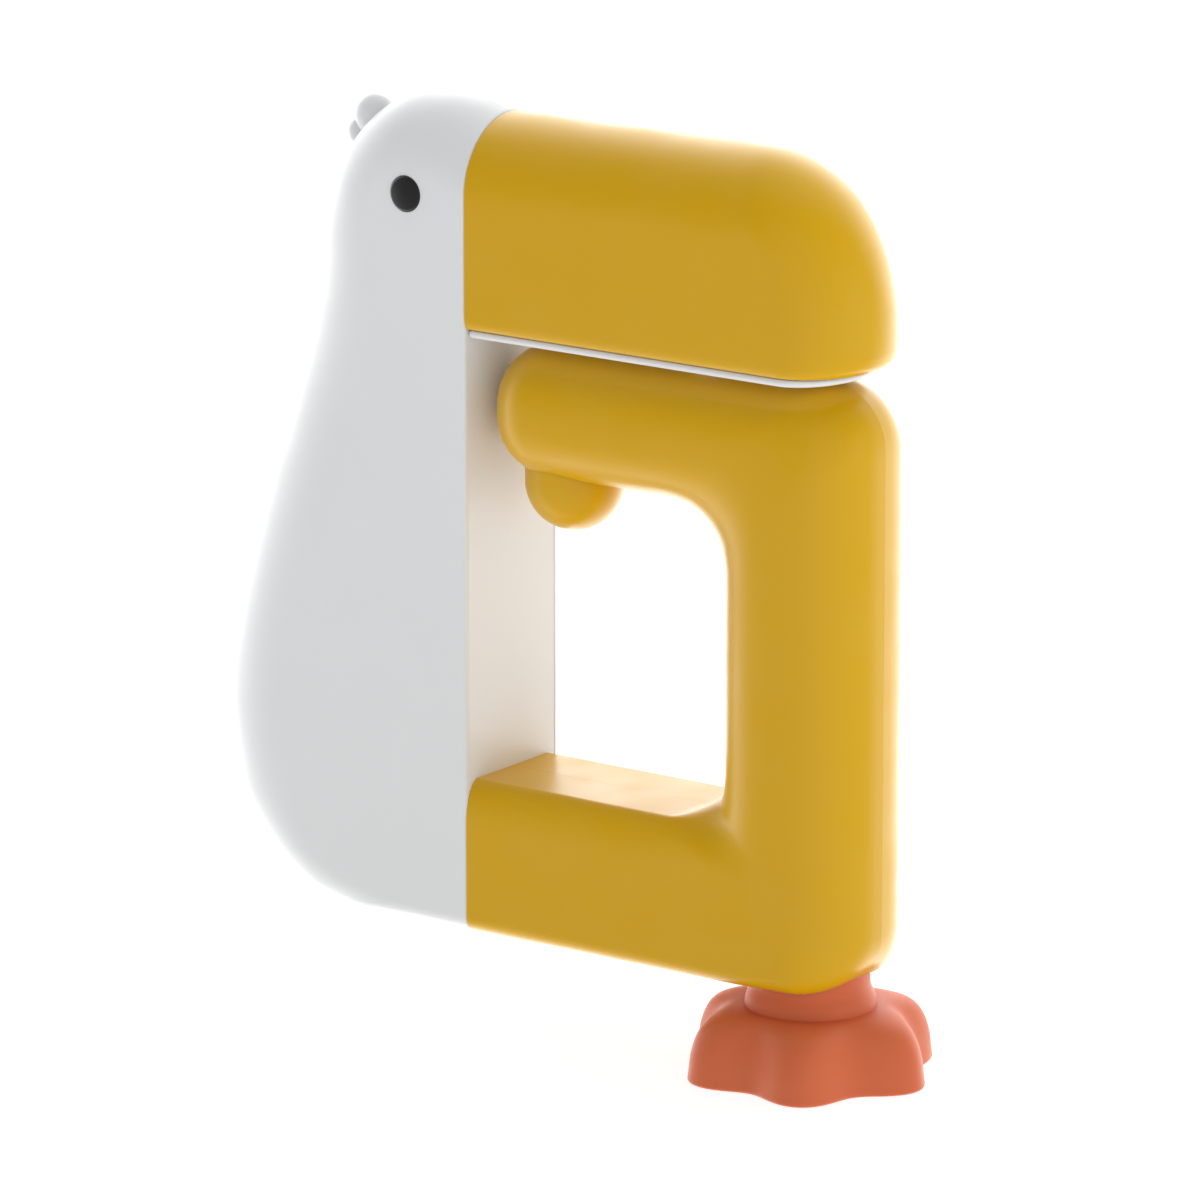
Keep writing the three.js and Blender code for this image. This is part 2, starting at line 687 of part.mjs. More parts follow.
/**
 * A route round a right-angled corner, as a function of a share from 0 to 1. A given share of it
 * lies on each straight and the rest on the arc.
 */
function roundedCorner(start, corner, end, radius, straight) {
  const toStart = start.clone().sub(corner).normalize();
  const toEnd = end.clone().sub(corner).normalize();
  const centre = corner.clone().addScaledVector(toStart, radius).addScaledVector(toEnd, radius);
  const onArc = (share) => centre.clone()
    .addScaledVector(toEnd, -radius * Math.cos((share * Math.PI) / 2))
    .addScaledVector(toStart, -radius * Math.sin((share * Math.PI) / 2));
  return (share) => {
    if (share < straight) {
      return start.clone().lerp(onArc(0), share / straight);
    }
    if (share > 1 - straight) {
      return onArc(1).lerp(end, 1 - (1 - share) / straight);
    }
    return onArc((share - straight) / (1 - 2 * straight));
  };
}

/** Stations along the loop, from the body along the bar, up the leg and back along the arm. */
function loopStations(bendSteps) {
  const at = (x, z) => new THREE.Vector2(x, z);
  const { innerLow, innerHigh, outerLow, outerHigh } = CORNER;
  const [lowX, lowZ] = [LEG_INNER - innerLow, BAR_TOP + innerLow];
  const [highX, highZ] = [LEG_INNER - innerHigh, ARM_BOTTOM - innerHigh];
  const lowInside = roundedCorner(
    at(lowX, BAR_TOP), at(LEG_INNER, BAR_TOP), at(LEG_INNER, lowZ), innerLow, 0,
  );
  const lowOutside = roundedCorner(
    at(lowX, 0), at(LEG_OUTER, 0), at(LEG_OUTER, lowZ), outerLow, STRAIGHT,
  );
  const highInside = roundedCorner(
    at(LEG_INNER, highZ), at(LEG_INNER, ARM_BOTTOM), at(highX, ARM_BOTTOM), innerHigh, 0,
  );
  const highOutside = roundedCorner(
    at(LEG_OUTER, highZ), at(LEG_OUTER, ARM_TOP), at(highX, ARM_TOP), outerHigh, STRAIGHT,
  );
  const shares = Array.from({ length: bendSteps + 1 }, (_, i) => i / bendSteps);
  const legMiddle = (lowZ + highZ) / 2;
  return [
    ...[GAP, 20, 40].map((x) => (
      { inner: at(x, BAR_TOP), outer: at(x, 0), innerBoxy: 1, outerBoxy: 1 }
    )),
    ...shares.map((share) => ({
      inner: lowInside(share),
      outer: lowOutside(share),
      innerBoxy: 1 - smoothstep(share, 0, 0.8),
      outerBoxy: 1 - smoothstep(share, 0.1, 0.75),
    })),
    { inner: at(LEG_INNER, legMiddle), outer: at(LEG_OUTER, legMiddle), innerBoxy: 0, outerBoxy: 0 },
    ...shares.map((share) => (
      { inner: highInside(share), outer: highOutside(share), innerBoxy: 0, outerBoxy: 0 }
    )),
    ...[36, 26].map((x) => armStation(x)),
  ];
}

/** A station on the straight part of the arm. */
function armStation(x) {
  return {
    inner: new THREE.Vector2(x, ARM_BOTTOM),
    outer: new THREE.Vector2(x, ARM_TOP),
    innerBoxy: 0,
    outerBoxy: 0,
  };
}

/** The outline of a section: two rounded corners on the inner edge and two on the outer edge. */
function loopRing({ inner, outer, innerBoxy, outerBoxy }, drawIn, scale = 1) {
  const centre = inner.clone().add(outer).multiplyScalar(0.5);
  const reach = outer.clone().sub(inner).multiplyScalar(0.5);
  const height = reach.length() - drawIn;
  const across = reach.normalize();
  const half = HALF - drawIn;
  const edges = {
    inner: { y: lerp(half, 4.7, innerBoxy), z: lerp(height, 11, innerBoxy), boxy: innerBoxy },
    outer: { y: lerp(half, 4, outerBoxy), z: lerp(height, 4, outerBoxy), boxy: outerBoxy },
  };
  const ring = [];
  for (let i = 0; i < 4 * LOOP_EDGE_STEPS + 4; i += 1) {
    const quarter = Math.floor(i / (LOOP_EDGE_STEPS + 1));
    const angle = ((i - quarter) / LOOP_EDGE_STEPS) * (Math.PI / 2);
    const up = quarter === 0 || quarter === 3 ? 1 : -1;
    const sideways = quarter < 2 ? 1 : -1;
    const edge = up > 0 ? edges.outer : edges.inner;
    const power = 2 / lerp(2.35, 2, edge.boxy);
    const along = up * (height - edge.z + edge.z * Math.abs(Math.cos(angle)) ** power);
    const y = sideways * (half - edge.y + edge.y * Math.abs(Math.sin(angle)) ** power);
    const place = centre.clone().addScaledVector(across, along * scale);
    ring.push(new THREE.Vector3(place.x, y * scale, place.y));
  }
  return ring;
}

/** The whole loop, drawn in by a distance; a hollow starts behind the bar's end wall. */
function loopSolid(drawIn, { bendSteps = 8, tipSteps = 5 } = {}) {
  const rings = loopStations(bendSteps).map((spot) => loopRing(spot, drawIn));
  const tipLength = ARM_END - ARM_TIP - drawIn;
  for (let i = 0; i <= tipSteps; i += 1) {
    const angle = (Math.PI / 2) * (i / (tipSteps + 0.3));
    const spot = armStation(ARM_END - tipLength * Math.sin(angle));
    rings.push(loopRing(spot, drawIn, Math.cos(angle)));
  }
  return loft(rings);
}

/** The loop with its inside, its holes and its posts, before it is split in two. */
function loopShellSolid() {
  const ahead = block([GAP + WALL, -50, -50], [200, 50, 300]);
  const hollow = loopSolid(WALL, COARSE_LOOP).intersect(ahead);
  const backing = loopSolid(1, COARSE_LOOP);
  const posts = [
    ...BAR_SCREWS.map(([y, z]) => rod(BOSS.blind, [GAP + 0.5, y, z], [10, y, z], 10)),
    ...PLATE_SCREWS.map(([x, y]) => rod(BOSS.blind, [x, y, 137], [x, y, 149], 10)),
  ];
  const switchRib = cut(
    block([10, -30, 131], [28, 30, 133]),
    block([12.6, -6.4, 130], [25.4, 6.4, 140]),
  );
  const holes = [
    rod(TRIGGER.radius + TRIGGER.clearance, [TRIGGER.x, 0, 100], [TRIGGER.x, 0, 122], 28),
    rod(NECK_RADIUS + 0.4, [LEG_X, 0, -5], [LEG_X, 0, 6], 28),
    rod(HOSE.outer + HOSE.play, [-1, 0, SUCTION_Z], [5, 0, SUCTION_Z], 10),
    rod(LEAD_HOLE, [LEAD_HOLE_X, -5, 142], [LEAD_HOLE_X, -5, 150], 10),
    ...BAR_SCREWS.map(([y, z]) => rod(SCREW.hole, [-1, y, z], [9, y, z], 8)),
    ...PLATE_SCREWS.map(([x, y]) => rod(SCREW.hole, [x, y, 138], [x, y, 150], 8)),
  ];
  const body = cut(loopSolid(0), hollow);
  const details = [...posts, switchRib].map((detail) => detail.intersect(backing));
  return cut(union(body, ...details), ...holes);
}

function addLoop(parent) {
  const shell = loopShellSolid();
  const backing = loopSolid(1, COARSE_LOOP);
  const right = cut(
    union(shell, ...LOOP_SCREWS.map((spot) => blindBoss(spot, HALF).intersect(backing))),
    ...LOOP_SCREWS.map(blindHole),
  ).intersect(halfSpace(-1));
  const left = cut(
    union(shell, ...LOOP_SCREWS.map((spot) => openBoss(spot, HALF).intersect(backing))),
    ...LOOP_SCREWS.map(openHole),
  ).intersect(halfSpace(1));
  addPart(parent, 'loop_shell_right', right, FINISH.yellow);
  addPart(parent, 'loop_shell_left', left, FINISH.yellow);
  LOOP_SCREWS.forEach(([x, z], i) => {
    const place = [x, HEAD_SEAT + GAP, z];
    addPart(parent, `loop_screw_${i + 1}`, screw(), FINISH.steel, place, [-Math.PI / 2, 0, 0]);
  });
}

// ---------------------------------------------------------------- trigger

/** The ball that the finger presses, its flange inside the arm, its spring and its switch. */
function addTrigger(parent) {
  const { radius } = TRIGGER;
  const group = addGroup(parent, [TRIGGER.x, 0, TRIGGER.z]);
  const ball = Array.from({ length: 8 }, (_, i) => {
    const angle = degToRad(-90 + i * (90 / 7));
    return [radius * Math.cos(angle), radius * Math.sin(angle)];
  });
  ball[0][0] = 0;
  const button = turned(
    [...ball, [radius, 9.5], [2.6, 9.5], [2.6, 16], [0, 16]],
    28,
    [TRIGGER.x, 0, TRIGGER.z],
  );
  const flangeLow = TRIGGER.z + 8.8;
  const flange = rod(14.5, [TRIGGER.x, 0, flangeLow], [TRIGGER.x, 0, flangeLow + 1.4], 28);
  const insideArm = loopSolid(WALL + 0.6, COARSE_LOOP);
  addPart(parent, 'trigger_button', union(button, flange.intersect(insideArm)), FINISH.yellow);

  const coil = Array.from({ length: 37 }, (_, i) => {
    const angle = (i / 36) * Math.PI * 2 * 4;
    return [5 * Math.cos(angle), 5 * Math.sin(angle), 10.9 + (i / 36) * 7.6];
  });
  addPart(group, 'trigger_spring', swept(coil, 0.4, { steps: 48, sides: 6 }), FINISH.steel);

  const housing = cut(
    union(block([-6, -6, 19.3], [6, 6, 27]), block([-1.5, -1, 26], [1.5, 1, 30])),
    rod(2, [0, 0, 18], [0, 0, 24.5], 16),
  );
  addPart(group, 'trigger_switch', housing, FINISH.rubber);
  addPart(group, 'switch_plunger', rod(1.6, [0, 0, 16.3], [0, 0, 20.8], 16), FINISH.grey);
}

// ---------------------------------------------------------------- tank and foot

/** A screw thread: a blunt ridge wound round the axis. */
function threadRidge(rootRadius, crestRadius, bottom, height) {
  const { pitch, turns } = THREAD;
  const middle = (rootRadius + crestRadius) / 2;
  const reach = Math.abs(crestRadius - rootRadius) / 2;
  const section = new THREE.Shape();
  section.moveTo(-height / 2, -reach);
  section.lineTo(height / 2, -reach);
  section.lineTo(height / 2, reach);
  section.lineTo(-height / 2, reach);
  const steps = Math.round(turns * 14);
  const rings = Array.from({ length: steps + 1 }, (_, i) => {
    const angle = (i / steps) * turns * Math.PI * 2;
    return section.getPoints().slice(0, 4).map((p) => new THREE.Vector3(
      (middle + p.y) * Math.cos(angle),
      (middle + p.y) * Math.sin(angle),
      bottom + p.x + (angle / (Math.PI * 2)) * pitch,
    ));
  });
  return loft(rings);
}

function addTank(parent) {
  const { radius, bottom, top, shoulder, wall, neckEnd } = TANK;
  const shoulderArc = (centre, size, from, to) => Array.from({ length: 5 }, (_, i) => {
    const angle = degToRad(lerp(from, to, i / 4));
    return [radius - shoulder + size * Math.cos(angle), centre + size * Math.sin(angle)];
  });
  const outside = [
    [THREAD.core, neckEnd], [THREAD.core, bottom], [radius, bottom + 5],
    ...shoulderArc(top - shoulder, shoulder, 0, 90), [0, top],
  ];
  const inside = [
    [0, top - wall], ...shoulderArc(top - shoulder, shoulder - wall, 90, 0),
    [radius - wall, bottom + 6], [THREAD.core - 2.2, bottom + 1.5], [THREAD.core - 2.2, neckEnd],
  ];
  const shell = turned([...outside, ...inside, outside[0]], 24);
  const barbEnd = -radius - 7.5;
  const barb = union(
    rod(3.4, [-radius + 0.8, 0, SUCTION_Z], [-radius - 1, 0, SUCTION_Z], 14),
    rod(1.3, [-radius, 0, SUCTION_Z], [barbEnd, 0, SUCTION_Z], 12),
  );
  const passage = rod(0.8, [-radius + 4, 0, SUCTION_Z], [barbEnd - 1, 0, SUCTION_Z], 8);
  const thread = threadRidge(THREAD.core - 0.4, THREAD.crest, neckEnd + 1.2, 1);
  addPart(parent, 'water_tank', cut(union(shell, barb, thread), passage), FINISH.clear);
}

/** Distance of the foot's edge from the axis at an angle, at a share of the lobes' full size. */
function lobedRadius(angle, share, lobing) {
  const mean = (FOOT_RADIUS.lobe + FOOT_RADIUS.valley) / 2;
  const swing = (FOOT_RADIUS.lobe - FOOT_RADIUS.valley) / 2;
  return share * mean + lobing * swing * Math.cos(FOOT_LOBES * angle);
}

function addFoot(parent) {
  const turnToFront = degToRad(FOOT_TURN);
  const around = 36;
  const meanRadius = (FOOT_RADIUS.lobe + FOOT_RADIUS.valley) / 2;
  const neck = [-0.8, NECK_TOP].map((height) => [height, NECK_RADIUS / meanRadius, 0]);
  const ringAt = ([height, share, lobing]) => Array.from({ length: around }, (_, i) => {
    const angle = (i / around) * Math.PI * 2;
    const radius = lobedRadius(angle - turnToFront, share, lobing);
    return new THREE.Vector3(radius * Math.cos(angle), radius * Math.sin(angle), height);
  });
  const rings = [...FOOT_PROFILE, ...neck].map(ringAt);
  const { pitch, turns, capBore, capCrest, core } = THREAD;
  const socketFloor = TANK.neckEnd - 2;
  const bottomOfRidge = TANK.neckEnd + 1.2 + pitch / 2;
  const ridge = threadRidge(capBore + 0.4, capCrest, bottomOfRidge, 1);
  const cap = union(
    cut(
      loft(rings),
      rod(capBore, [0, 0, socketFloor], [0, 0, NECK_TOP + 1], 28),
      rod(INLET.filterRadius + GAP, [0, 0, FOOT_BOTTOM - 1], [0, 0, FOOT_BOTTOM + 2], 28),
      rod(INLET.valveRadius + GAP, [0, 0, FOOT_BOTTOM], [0, 0, socketFloor + 1], 20),
    ),
    ridge,
  );
  addPart(parent, 'foot_cap', cap, FINISH.coral);

  const seal = cut(
    rod(core + 0.8, [0, 0, socketFloor + GAP], [0, 0, TANK.neckEnd - GAP], 28),
    rod(core - 3.5, [0, 0, socketFloor - 1], [0, 0, TANK.neckEnd + 1], 20),
  );
  addPart(parent, 'cap_seal', seal, FINISH.rubber);
}

/** The inlet's filter disc in the sole and the duckbill valve above it. */
function addInlet(parent) {
  const disc = rod(INLET.filterRadius, [0, 0, FOOT_BOTTOM + 0.3], [0, 0, FOOT_BOTTOM + 1.7], 28);
  const holes = [[0, 0], ...Array.from({ length: 6 }, (_, i) => {
    const angle = degToRad(i * 60);
    return [5 * Math.cos(angle), 5 * Math.sin(angle)];
  })].map(([x, y]) => rod(0.9, [x, y, FOOT_BOTTOM - 1], [x, y, FOOT_BOTTOM + 3], 8));
  addPart(parent, 'inlet_filter', cut(disc, ...holes), FINISH.coral);

  const bottom = FOOT_BOTTOM + 2.3;
  const valve = cut(
    union(
      rod(INLET.valveRadius, [0, 0, bottom], [0, 0, bottom + 2.2], 18),
      rod(2.8, [0, 0, bottom + 2], [0, 0, bottom + 6], 18, 1.4),
    ),
    rod(1, [0, 0, bottom - 1], [0, 0, bottom + 7], 10, 0.5),
  );
  addPart(parent, 'inlet_valve', valve, FINISH.rubber);
}

// ---------------------------------------------------------------- pump and motor

/** One side of an involute tooth, from the root to the tip, as [radius, half angle]. */
function toothFlank(steps) {
  const { module, teeth, pressureAngle, backlash } = GEAR;
  const pitchRadius = (module * teeth) / 2;
  const baseRadius = pitchRadius * Math.cos(degToRad(pressureAngle));
  const tipRadius = pitchRadius + 0.8 * module;
  const involute = (radius) => {
    const angle = Math.acos(Math.min(1, baseRadius / radius));
    return Math.tan(angle) - angle;
  };
  const halfAtPitch = Math.PI / (2 * teeth) - backlash / pitchRadius;
  const flank = [[pitchRadius - 1.25 * module, halfAtPitch + involute(pitchRadius) + 0.02]];
  for (let i = 0; i <= steps; i += 1) {
    const radius = lerp(Math.max(baseRadius, pitchRadius - 1.1 * module), tipRadius, i / steps);
    flank.push([radius, halfAtPitch + involute(pitchRadius) - involute(radius)]);
  }
  return flank;
}

/** A spur gear on the Z axis with a round bore; phase turns it by a share of one tooth. */
function gear(bore, phase) {
  const flank = toothFlank(2);
  const points = [];
  for (let tooth = 0; tooth < GEAR.teeth; tooth += 1) {
    const middle = ((tooth + phase) / GEAR.teeth) * Math.PI * 2;
    const rising = flank.map(([radius, half]) => [radius, middle - half]);
    const falling = flank.map(([radius, half]) => [radius, middle + half]).reverse();
    [...rising, ...falling].forEach(([radius, angle]) => {
      points.push(new THREE.Vector2(radius * Math.cos(angle), radius * Math.sin(angle)));
    });
  }
  const wheel = raised(new THREE.Shape(points), 0, GEAR.height);
  return cut(wheel, rod(bore, [0, 0, -1], [0, 0, GEAR.height + 1], 16));
}

/** The gear pump: housing, cover with the motor's socket, two gears, the idler's pin, two screws. */
function addPump(parent) {
  const group = addGroup(parent, [PUMP.x, 0, PUMP.z]);
  const idlerX = -PUMP.gearGap;
  const chamber = 7.15;
  const ports = [-3.6, 3.6];
  const portX = idlerX / 2;
  const screws = [[-20.5, 8], [7.5, -8]];
  const housing = cut(
    union(
      block([-24, -11, 0], [11, 11, 12.3]),
      ...ports.map((y) => rod(1.3, [portX, y, -7], [portX, y, 1], 12)),
    ),
    rod(chamber, [0, 0, 3.7], [0, 0, 13], 26),
    rod(chamber, [idlerX, 0, 3.7], [idlerX, 0, 13], 26),
    rod(1.8, [idlerX, 0, 1.5], [idlerX, 0, 5], 14),
    ...ports.map((y) => rod(0.8, [portX, y, -8], [portX, y, 4.5], 10)),
    ...screws.map(([x, y]) => rod(SCREW.hole, [x, y, 3], [x, y, 13], 10)),
  );
  addPart(group, 'pump_housing', housing, FINISH.grey);

  const coverBottom = 12.3 + GAP;
  const ringTop = coverBottom + 14;
  const cover = cut(
    union(
      block([-24, -11, coverBottom], [11, 11, coverBottom + 3]),
      rod(MOTOR.radius + 2, [0, 0, coverBottom + 1], [0, 0, ringTop], 32),
    ),
    rod(MOTOR.radius + 0.4, [0, 0, MOTOR.bottom - PUMP.z - GAP], [0, 0, ringTop + 1], 32),
    rod(1.4, [0, 0, 0], [0, 0, 30], 14),
    ...screws.map(([x, y]) => rod(SCREW.hole, [x, y, 5], [x, y, 20], 10)),
    rod(2.9, [screws[1][0], screws[1][1], coverBottom + 3], [screws[1][0], screws[1][1], 40], 14),
  );
  addPart(group, 'pump_cover', cover, FINISH.grey);
  screws.forEach(([x, y], i) => {
    addPart(group, `pump_screw_${i + 1}`, screw(11), FINISH.steel, [x, y, coverBottom + 3 + GAP]);
  });

  addPart(group, 'pump_drive_gear', gear(1.3, 0), FINISH.steel, [0, 0, 4]);
  addPart(group, 'pump_idler_gear', gear(1.8, 0.5), FINISH.steel, [idlerX, 0, 4]);
  const pin = rod(1.5, [0, 0, 1.8], [0, 0, 12.3], 14);
  addPart(group, 'idler_pin', pin, FINISH.steel, [idlerX, 0, 0]);
}

function addMotor(parent) {
  const group = addGroup(parent, [PUMP.x, 0, 0]);
  const { radius, bottom, top } = MOTOR;
  const can = cut(
    union(
      turned([
        [0, bottom], [radius - 1, bottom], [radius, bottom + 1], [radius, top - 1],
        [radius - 1, top], [0, top],
      ], 28),
      block([-7, -0.4, top - 1], [-4.5, 0.4, top + 4]),
      block([4.5, -0.4, top - 1], [7, 0.4, top + 4]),
    ),
    rod(1.3, [0, 0, bottom - 1], [0, 0, bottom + 5], 14),
  );
  addPart(group, 'motor_can', can, FINISH.steel);
  const shaft = rod(1, [0, 0, PUMP.z + 4.3], [0, 0, bottom + 4.6], 14);
  addPart(group, 'motor_shaft', shaft, FINISH.steel);
}

// ---------------------------------------------------------------- power

/** A lithium cell with its raised cap, and the two contact plates welded to it. */
function addBattery(parent) {
  const { radius, length, x, bottom } = BATTERY;
  const group = addGroup(parent, [x, 0, bottom]);
  const cell = turned([
    [0, 0], [radius - 0.4, 0], [radius, 0.4], [radius, length - 1.5], [radius - 0.6, length - 1],
    [3, length - 1], [3, length], [0, length],
  ], 28);
  addPart(group, 'battery_cell', cell, FINISH.cell);
  const tab = (z) => block([-3.5, -2.5, z], [5, 2.5, z + 0.4]);
  addPart(group, 'battery_contact_plus', tab(length + GAP), FINISH.steel);
  addPart(group, 'battery_contact_minus', tab(-0.4 - GAP), FINISH.steel);
}

/** The charging and motor control board with its parts, the charging socket and the sealing flap. */
function addElectronics(parent) {
  const { bottom, thickness, length, width } = BOARD;
  const { x, flapLength, flapWidth } = CHARGE;
  const group = addGroup(parent, [x, 0, 0]);
  const top = bottom + thickness;
  const board = union(
    block([-length / 2, -width / 2, bottom], [length / 2, width / 2, top]),
    block([-14, 4.5, top - 0.2], [-9, 9.5, top + 1.6]),
    block([4, 5, top - 0.2], [10, 9, top + 1.4]),
    block([-6, -10, top - 0.2], [-1, -5, top + 4]),
  );
  addPart(group, 'circuit_board', board, FINISH.board);

  const socket = cut(
    block([-4.4, -1.6, 2.1], [4.4, 1.6, bottom - GAP]),
    block([-3.8, -1.1, 1], [3.8, 1.1, bottom - 1.5]),
  );
  addPart(group, 'charge_socket', socket, FINISH.steel);

  const flap = union(
    block([-flapLength / 2, -flapWidth / 2, 0.1], [flapLength / 2, flapWidth / 2, 1.3]),
    block([-3.4, -0.7, 1], [3.4, 0.7, 3]),
  );
  addPart(group, 'port_flap', flap, FINISH.rubber);
}

// ---------------------------------------------------------------- hoses and leads

function addHoses(parent) {
  const pumpPort = PUMP.x - PUMP.gearGap / 2;
  const portTop = PUMP.z - GAP;
  const suction = [
    [LEG_X - TANK.radius - 1.4, 0, SUCTION_Z], [55, 0, SUCTION_Z], [25, 0, SUCTION_Z],
    [0, 0, SUCTION_Z], [-20, -1, SUCTION_Z], [-38, -2.8, 19], [pumpPort + 1.5, -3.6, 28],
    [pumpPort, -3.6, 36], [pumpPort, -3.6, portTop],
  ];
  const suctionHose = swept(suction, HOSE.outer, { bore: HOSE.inner, steps: 20, sides: 6 });
  addPart(parent, 'suction_hose', suctionHose, FINISH.clear);

  const delivery = [
    [pumpPort, 3.6, portTop], [pumpPort, 3.6, 40], [pumpPort, 3.6, 36],
    [pumpPort + 3, 4.2, 29], [-36, 6, 26.5], [-22, 6.5, 28.5], [-13.5, 5, 38], [-11.5, 2, 55],
    [-11.5, 0, 75], [-11.5, 0, 110],
    [-11.5, 0, 146], [-10.6, 0, 156], [-8, 0, 162.9], [-3.8, 0, 165.9], [3, 0, DELIVERY_Z],
    [30, 0, DELIVERY_Z],
    [58, 0, DELIVERY_Z], nozzlePoint(32), nozzlePoint(22), nozzlePoint(NOZZLE.length + GAP),
  ];
  const deliveryHose = swept(delivery, HOSE.outer, { bore: HOSE.inner, steps: 32, sides: 6 });
  addPart(parent, 'delivery_hose', deliveryHose, FINISH.clear);
}

function addLeads(parent) {
  const boardTop = BOARD.bottom + BOARD.thickness + 2 * GAP;
  const switchLead = [
    [TRIGGER.x + 2.6, -1, 141], [26.5, -3.5, 140.2], [31.5, -5, 140.8], [LEAD_HOLE_X, -5, 145],
    [LEAD_HOLE_X, -5, 150], [30, -5, 155], [22, -5, LEAD_Z], [2, -5, LEAD_Z],
    [-6, -5.4, 154], [-9, -9, 140], [-8.6, -11, 100], [-9, -11, 50], [-11, -9, 26],
    [-13, -7, boardTop],
  ];
  const motorLead = [
    [PUMP.x + 8.2, -1, MOTOR.top + 3], [-30, -4, 100], [-25.5, -10, 92], [-23, -12, 70],
    [-22, -11.5, 40], [-21, -10, 24], [-20, -6, boardTop],
  ];
  const batteryLead = [
    [BATTERY.x + 6.4, 1, BATTERY.bottom - 1.5], [-16.8, 6, 103], [-17.5, 11.5, 90], [-19, 12.6, 60],
    [-19.5, 12.6, 38], [-25, 11, 20], [-27, 7, boardTop],
  ];
  const thin = { steps: 18, sides: 6 };
  const longLead = swept(switchLead, LEAD_RADIUS, { steps: 32, sides: 6 });
  addPart(parent, 'switch_lead', longLead, FINISH.rubber);
  addPart(parent, 'motor_lead', swept(motorLead, LEAD_RADIUS, thin), FINISH.rubber);
  addPart(parent, 'battery_lead', swept(batteryLead, LEAD_RADIUS, thin), FINISH.rubber);
}

// ---------------------------------------------------------------- the toy

/** Everything, with the origin in the middle of the box on the standing surface. */
function buildToy() {
  const toy = new THREE.Group();
  addBodyShells(toy);
  addFrontPanel(toy);
  addEyes(toy);
  addCrest(toy);
  addBeak(toy);
  addNozzle(toy);
  addLoop(toy);
  addTrigger(toy);
  const leg = addGroup(toy, [LEG_X, 0, 0]);
  addTank(leg);
  addFoot(leg);
  addInlet(leg);
  addPump(toy);
  addMotor(toy);
  addBattery(toy);
  addElectronics(toy);
  addHoses(toy);
  addLeads(toy);
  const box = new THREE.Box3().setFromObject(toy);
  toy.position.set(-(box.min.x + box.max.x) / 2, 0, -box.min.z);
  return toy;
}

export default buildToy();
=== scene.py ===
"""A hand-held water squirter for the pool, shaped as a big-beaked bird, dressed over its frame.

Sizes are millimetres from the body's flat front face and flat bottom, +X the way the beak points
and +Z up. One function turns them into the frame's metres.
"""

import logging
import math
from dataclasses import dataclass, field
from enum import Enum
from typing import Any, Callable

import bpy
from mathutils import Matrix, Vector


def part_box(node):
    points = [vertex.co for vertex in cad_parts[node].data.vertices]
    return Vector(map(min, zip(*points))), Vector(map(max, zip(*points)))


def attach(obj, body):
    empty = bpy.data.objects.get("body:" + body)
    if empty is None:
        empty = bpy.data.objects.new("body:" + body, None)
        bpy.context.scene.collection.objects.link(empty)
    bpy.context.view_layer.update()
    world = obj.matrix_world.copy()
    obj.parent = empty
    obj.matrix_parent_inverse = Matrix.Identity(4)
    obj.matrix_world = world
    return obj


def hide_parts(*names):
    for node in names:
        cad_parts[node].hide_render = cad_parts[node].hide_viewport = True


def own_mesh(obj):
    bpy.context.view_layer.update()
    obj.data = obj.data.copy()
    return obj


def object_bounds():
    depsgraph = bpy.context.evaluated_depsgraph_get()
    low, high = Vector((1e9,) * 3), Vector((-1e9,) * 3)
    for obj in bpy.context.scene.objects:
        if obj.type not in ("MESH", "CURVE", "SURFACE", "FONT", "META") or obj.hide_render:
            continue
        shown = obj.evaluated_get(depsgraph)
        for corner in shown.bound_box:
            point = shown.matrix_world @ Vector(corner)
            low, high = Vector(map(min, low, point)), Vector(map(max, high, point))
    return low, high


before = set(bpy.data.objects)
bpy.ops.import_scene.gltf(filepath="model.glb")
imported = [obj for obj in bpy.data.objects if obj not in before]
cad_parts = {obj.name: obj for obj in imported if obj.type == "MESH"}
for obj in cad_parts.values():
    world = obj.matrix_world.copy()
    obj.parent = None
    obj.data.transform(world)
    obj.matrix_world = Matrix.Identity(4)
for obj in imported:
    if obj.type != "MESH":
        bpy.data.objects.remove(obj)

CAD_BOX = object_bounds()
LOG = logging.getLogger("squirter")

MM = 0.001
ORIGIN = Vector((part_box("front_panel")[1].x, 0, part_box("body_shell_right")[0].z))
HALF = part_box("body_shell_left")[1].y / MM  # half the thickness of body, beak and loop
SEAM = 0.02  # a moulded joint line, from its middle to either side
FIT = 0.08  # between a piece and the hole it fills
SMOOTH_ANGLE = math.radians(32)
SIDE_TOP = 181.3  # the sides of body and beak are upright up to here
HOSE_HOLE = 3.7


class Side(Enum):
    """The two halves that the body and the loop are moulded in."""

    RIGHT = -1
    LEFT = 1


# ---------------------------------------------------------------- places and curves


def spot(x: float, y: float, z: float) -> Vector:
    """A place in millimetres as a point of the frame, in metres."""
    return ORIGIN + Vector((x, y, z)) * MM


def at(x: float, z: float) -> Vector:
    """A point of the side view."""
    return Vector((x, 0, z))


def spot_mean(points: list[Vector]) -> Vector:
    """The middle of some points."""
    return sum(points, Vector()) / len(points)


def lerp(start: float, end: float, share: float) -> float:
    """The value that lies a share of the way from start to end."""
    return start + (end - start) * share


def smoothstep(value: float, low: float, high: float) -> float:
    """Rises smoothly from 0 at low to 1 at high."""
    share = min(1.0, max(0.0, (value - low) / (high - low)))
    return share * share * (3 - 2 * share)


def drawn_in(share: float) -> float:
    """How far a quarter circle has drawn in at a share of its height, from 0 to 1."""
    return 1 - math.sqrt(max(0.0, 1 - share * share))


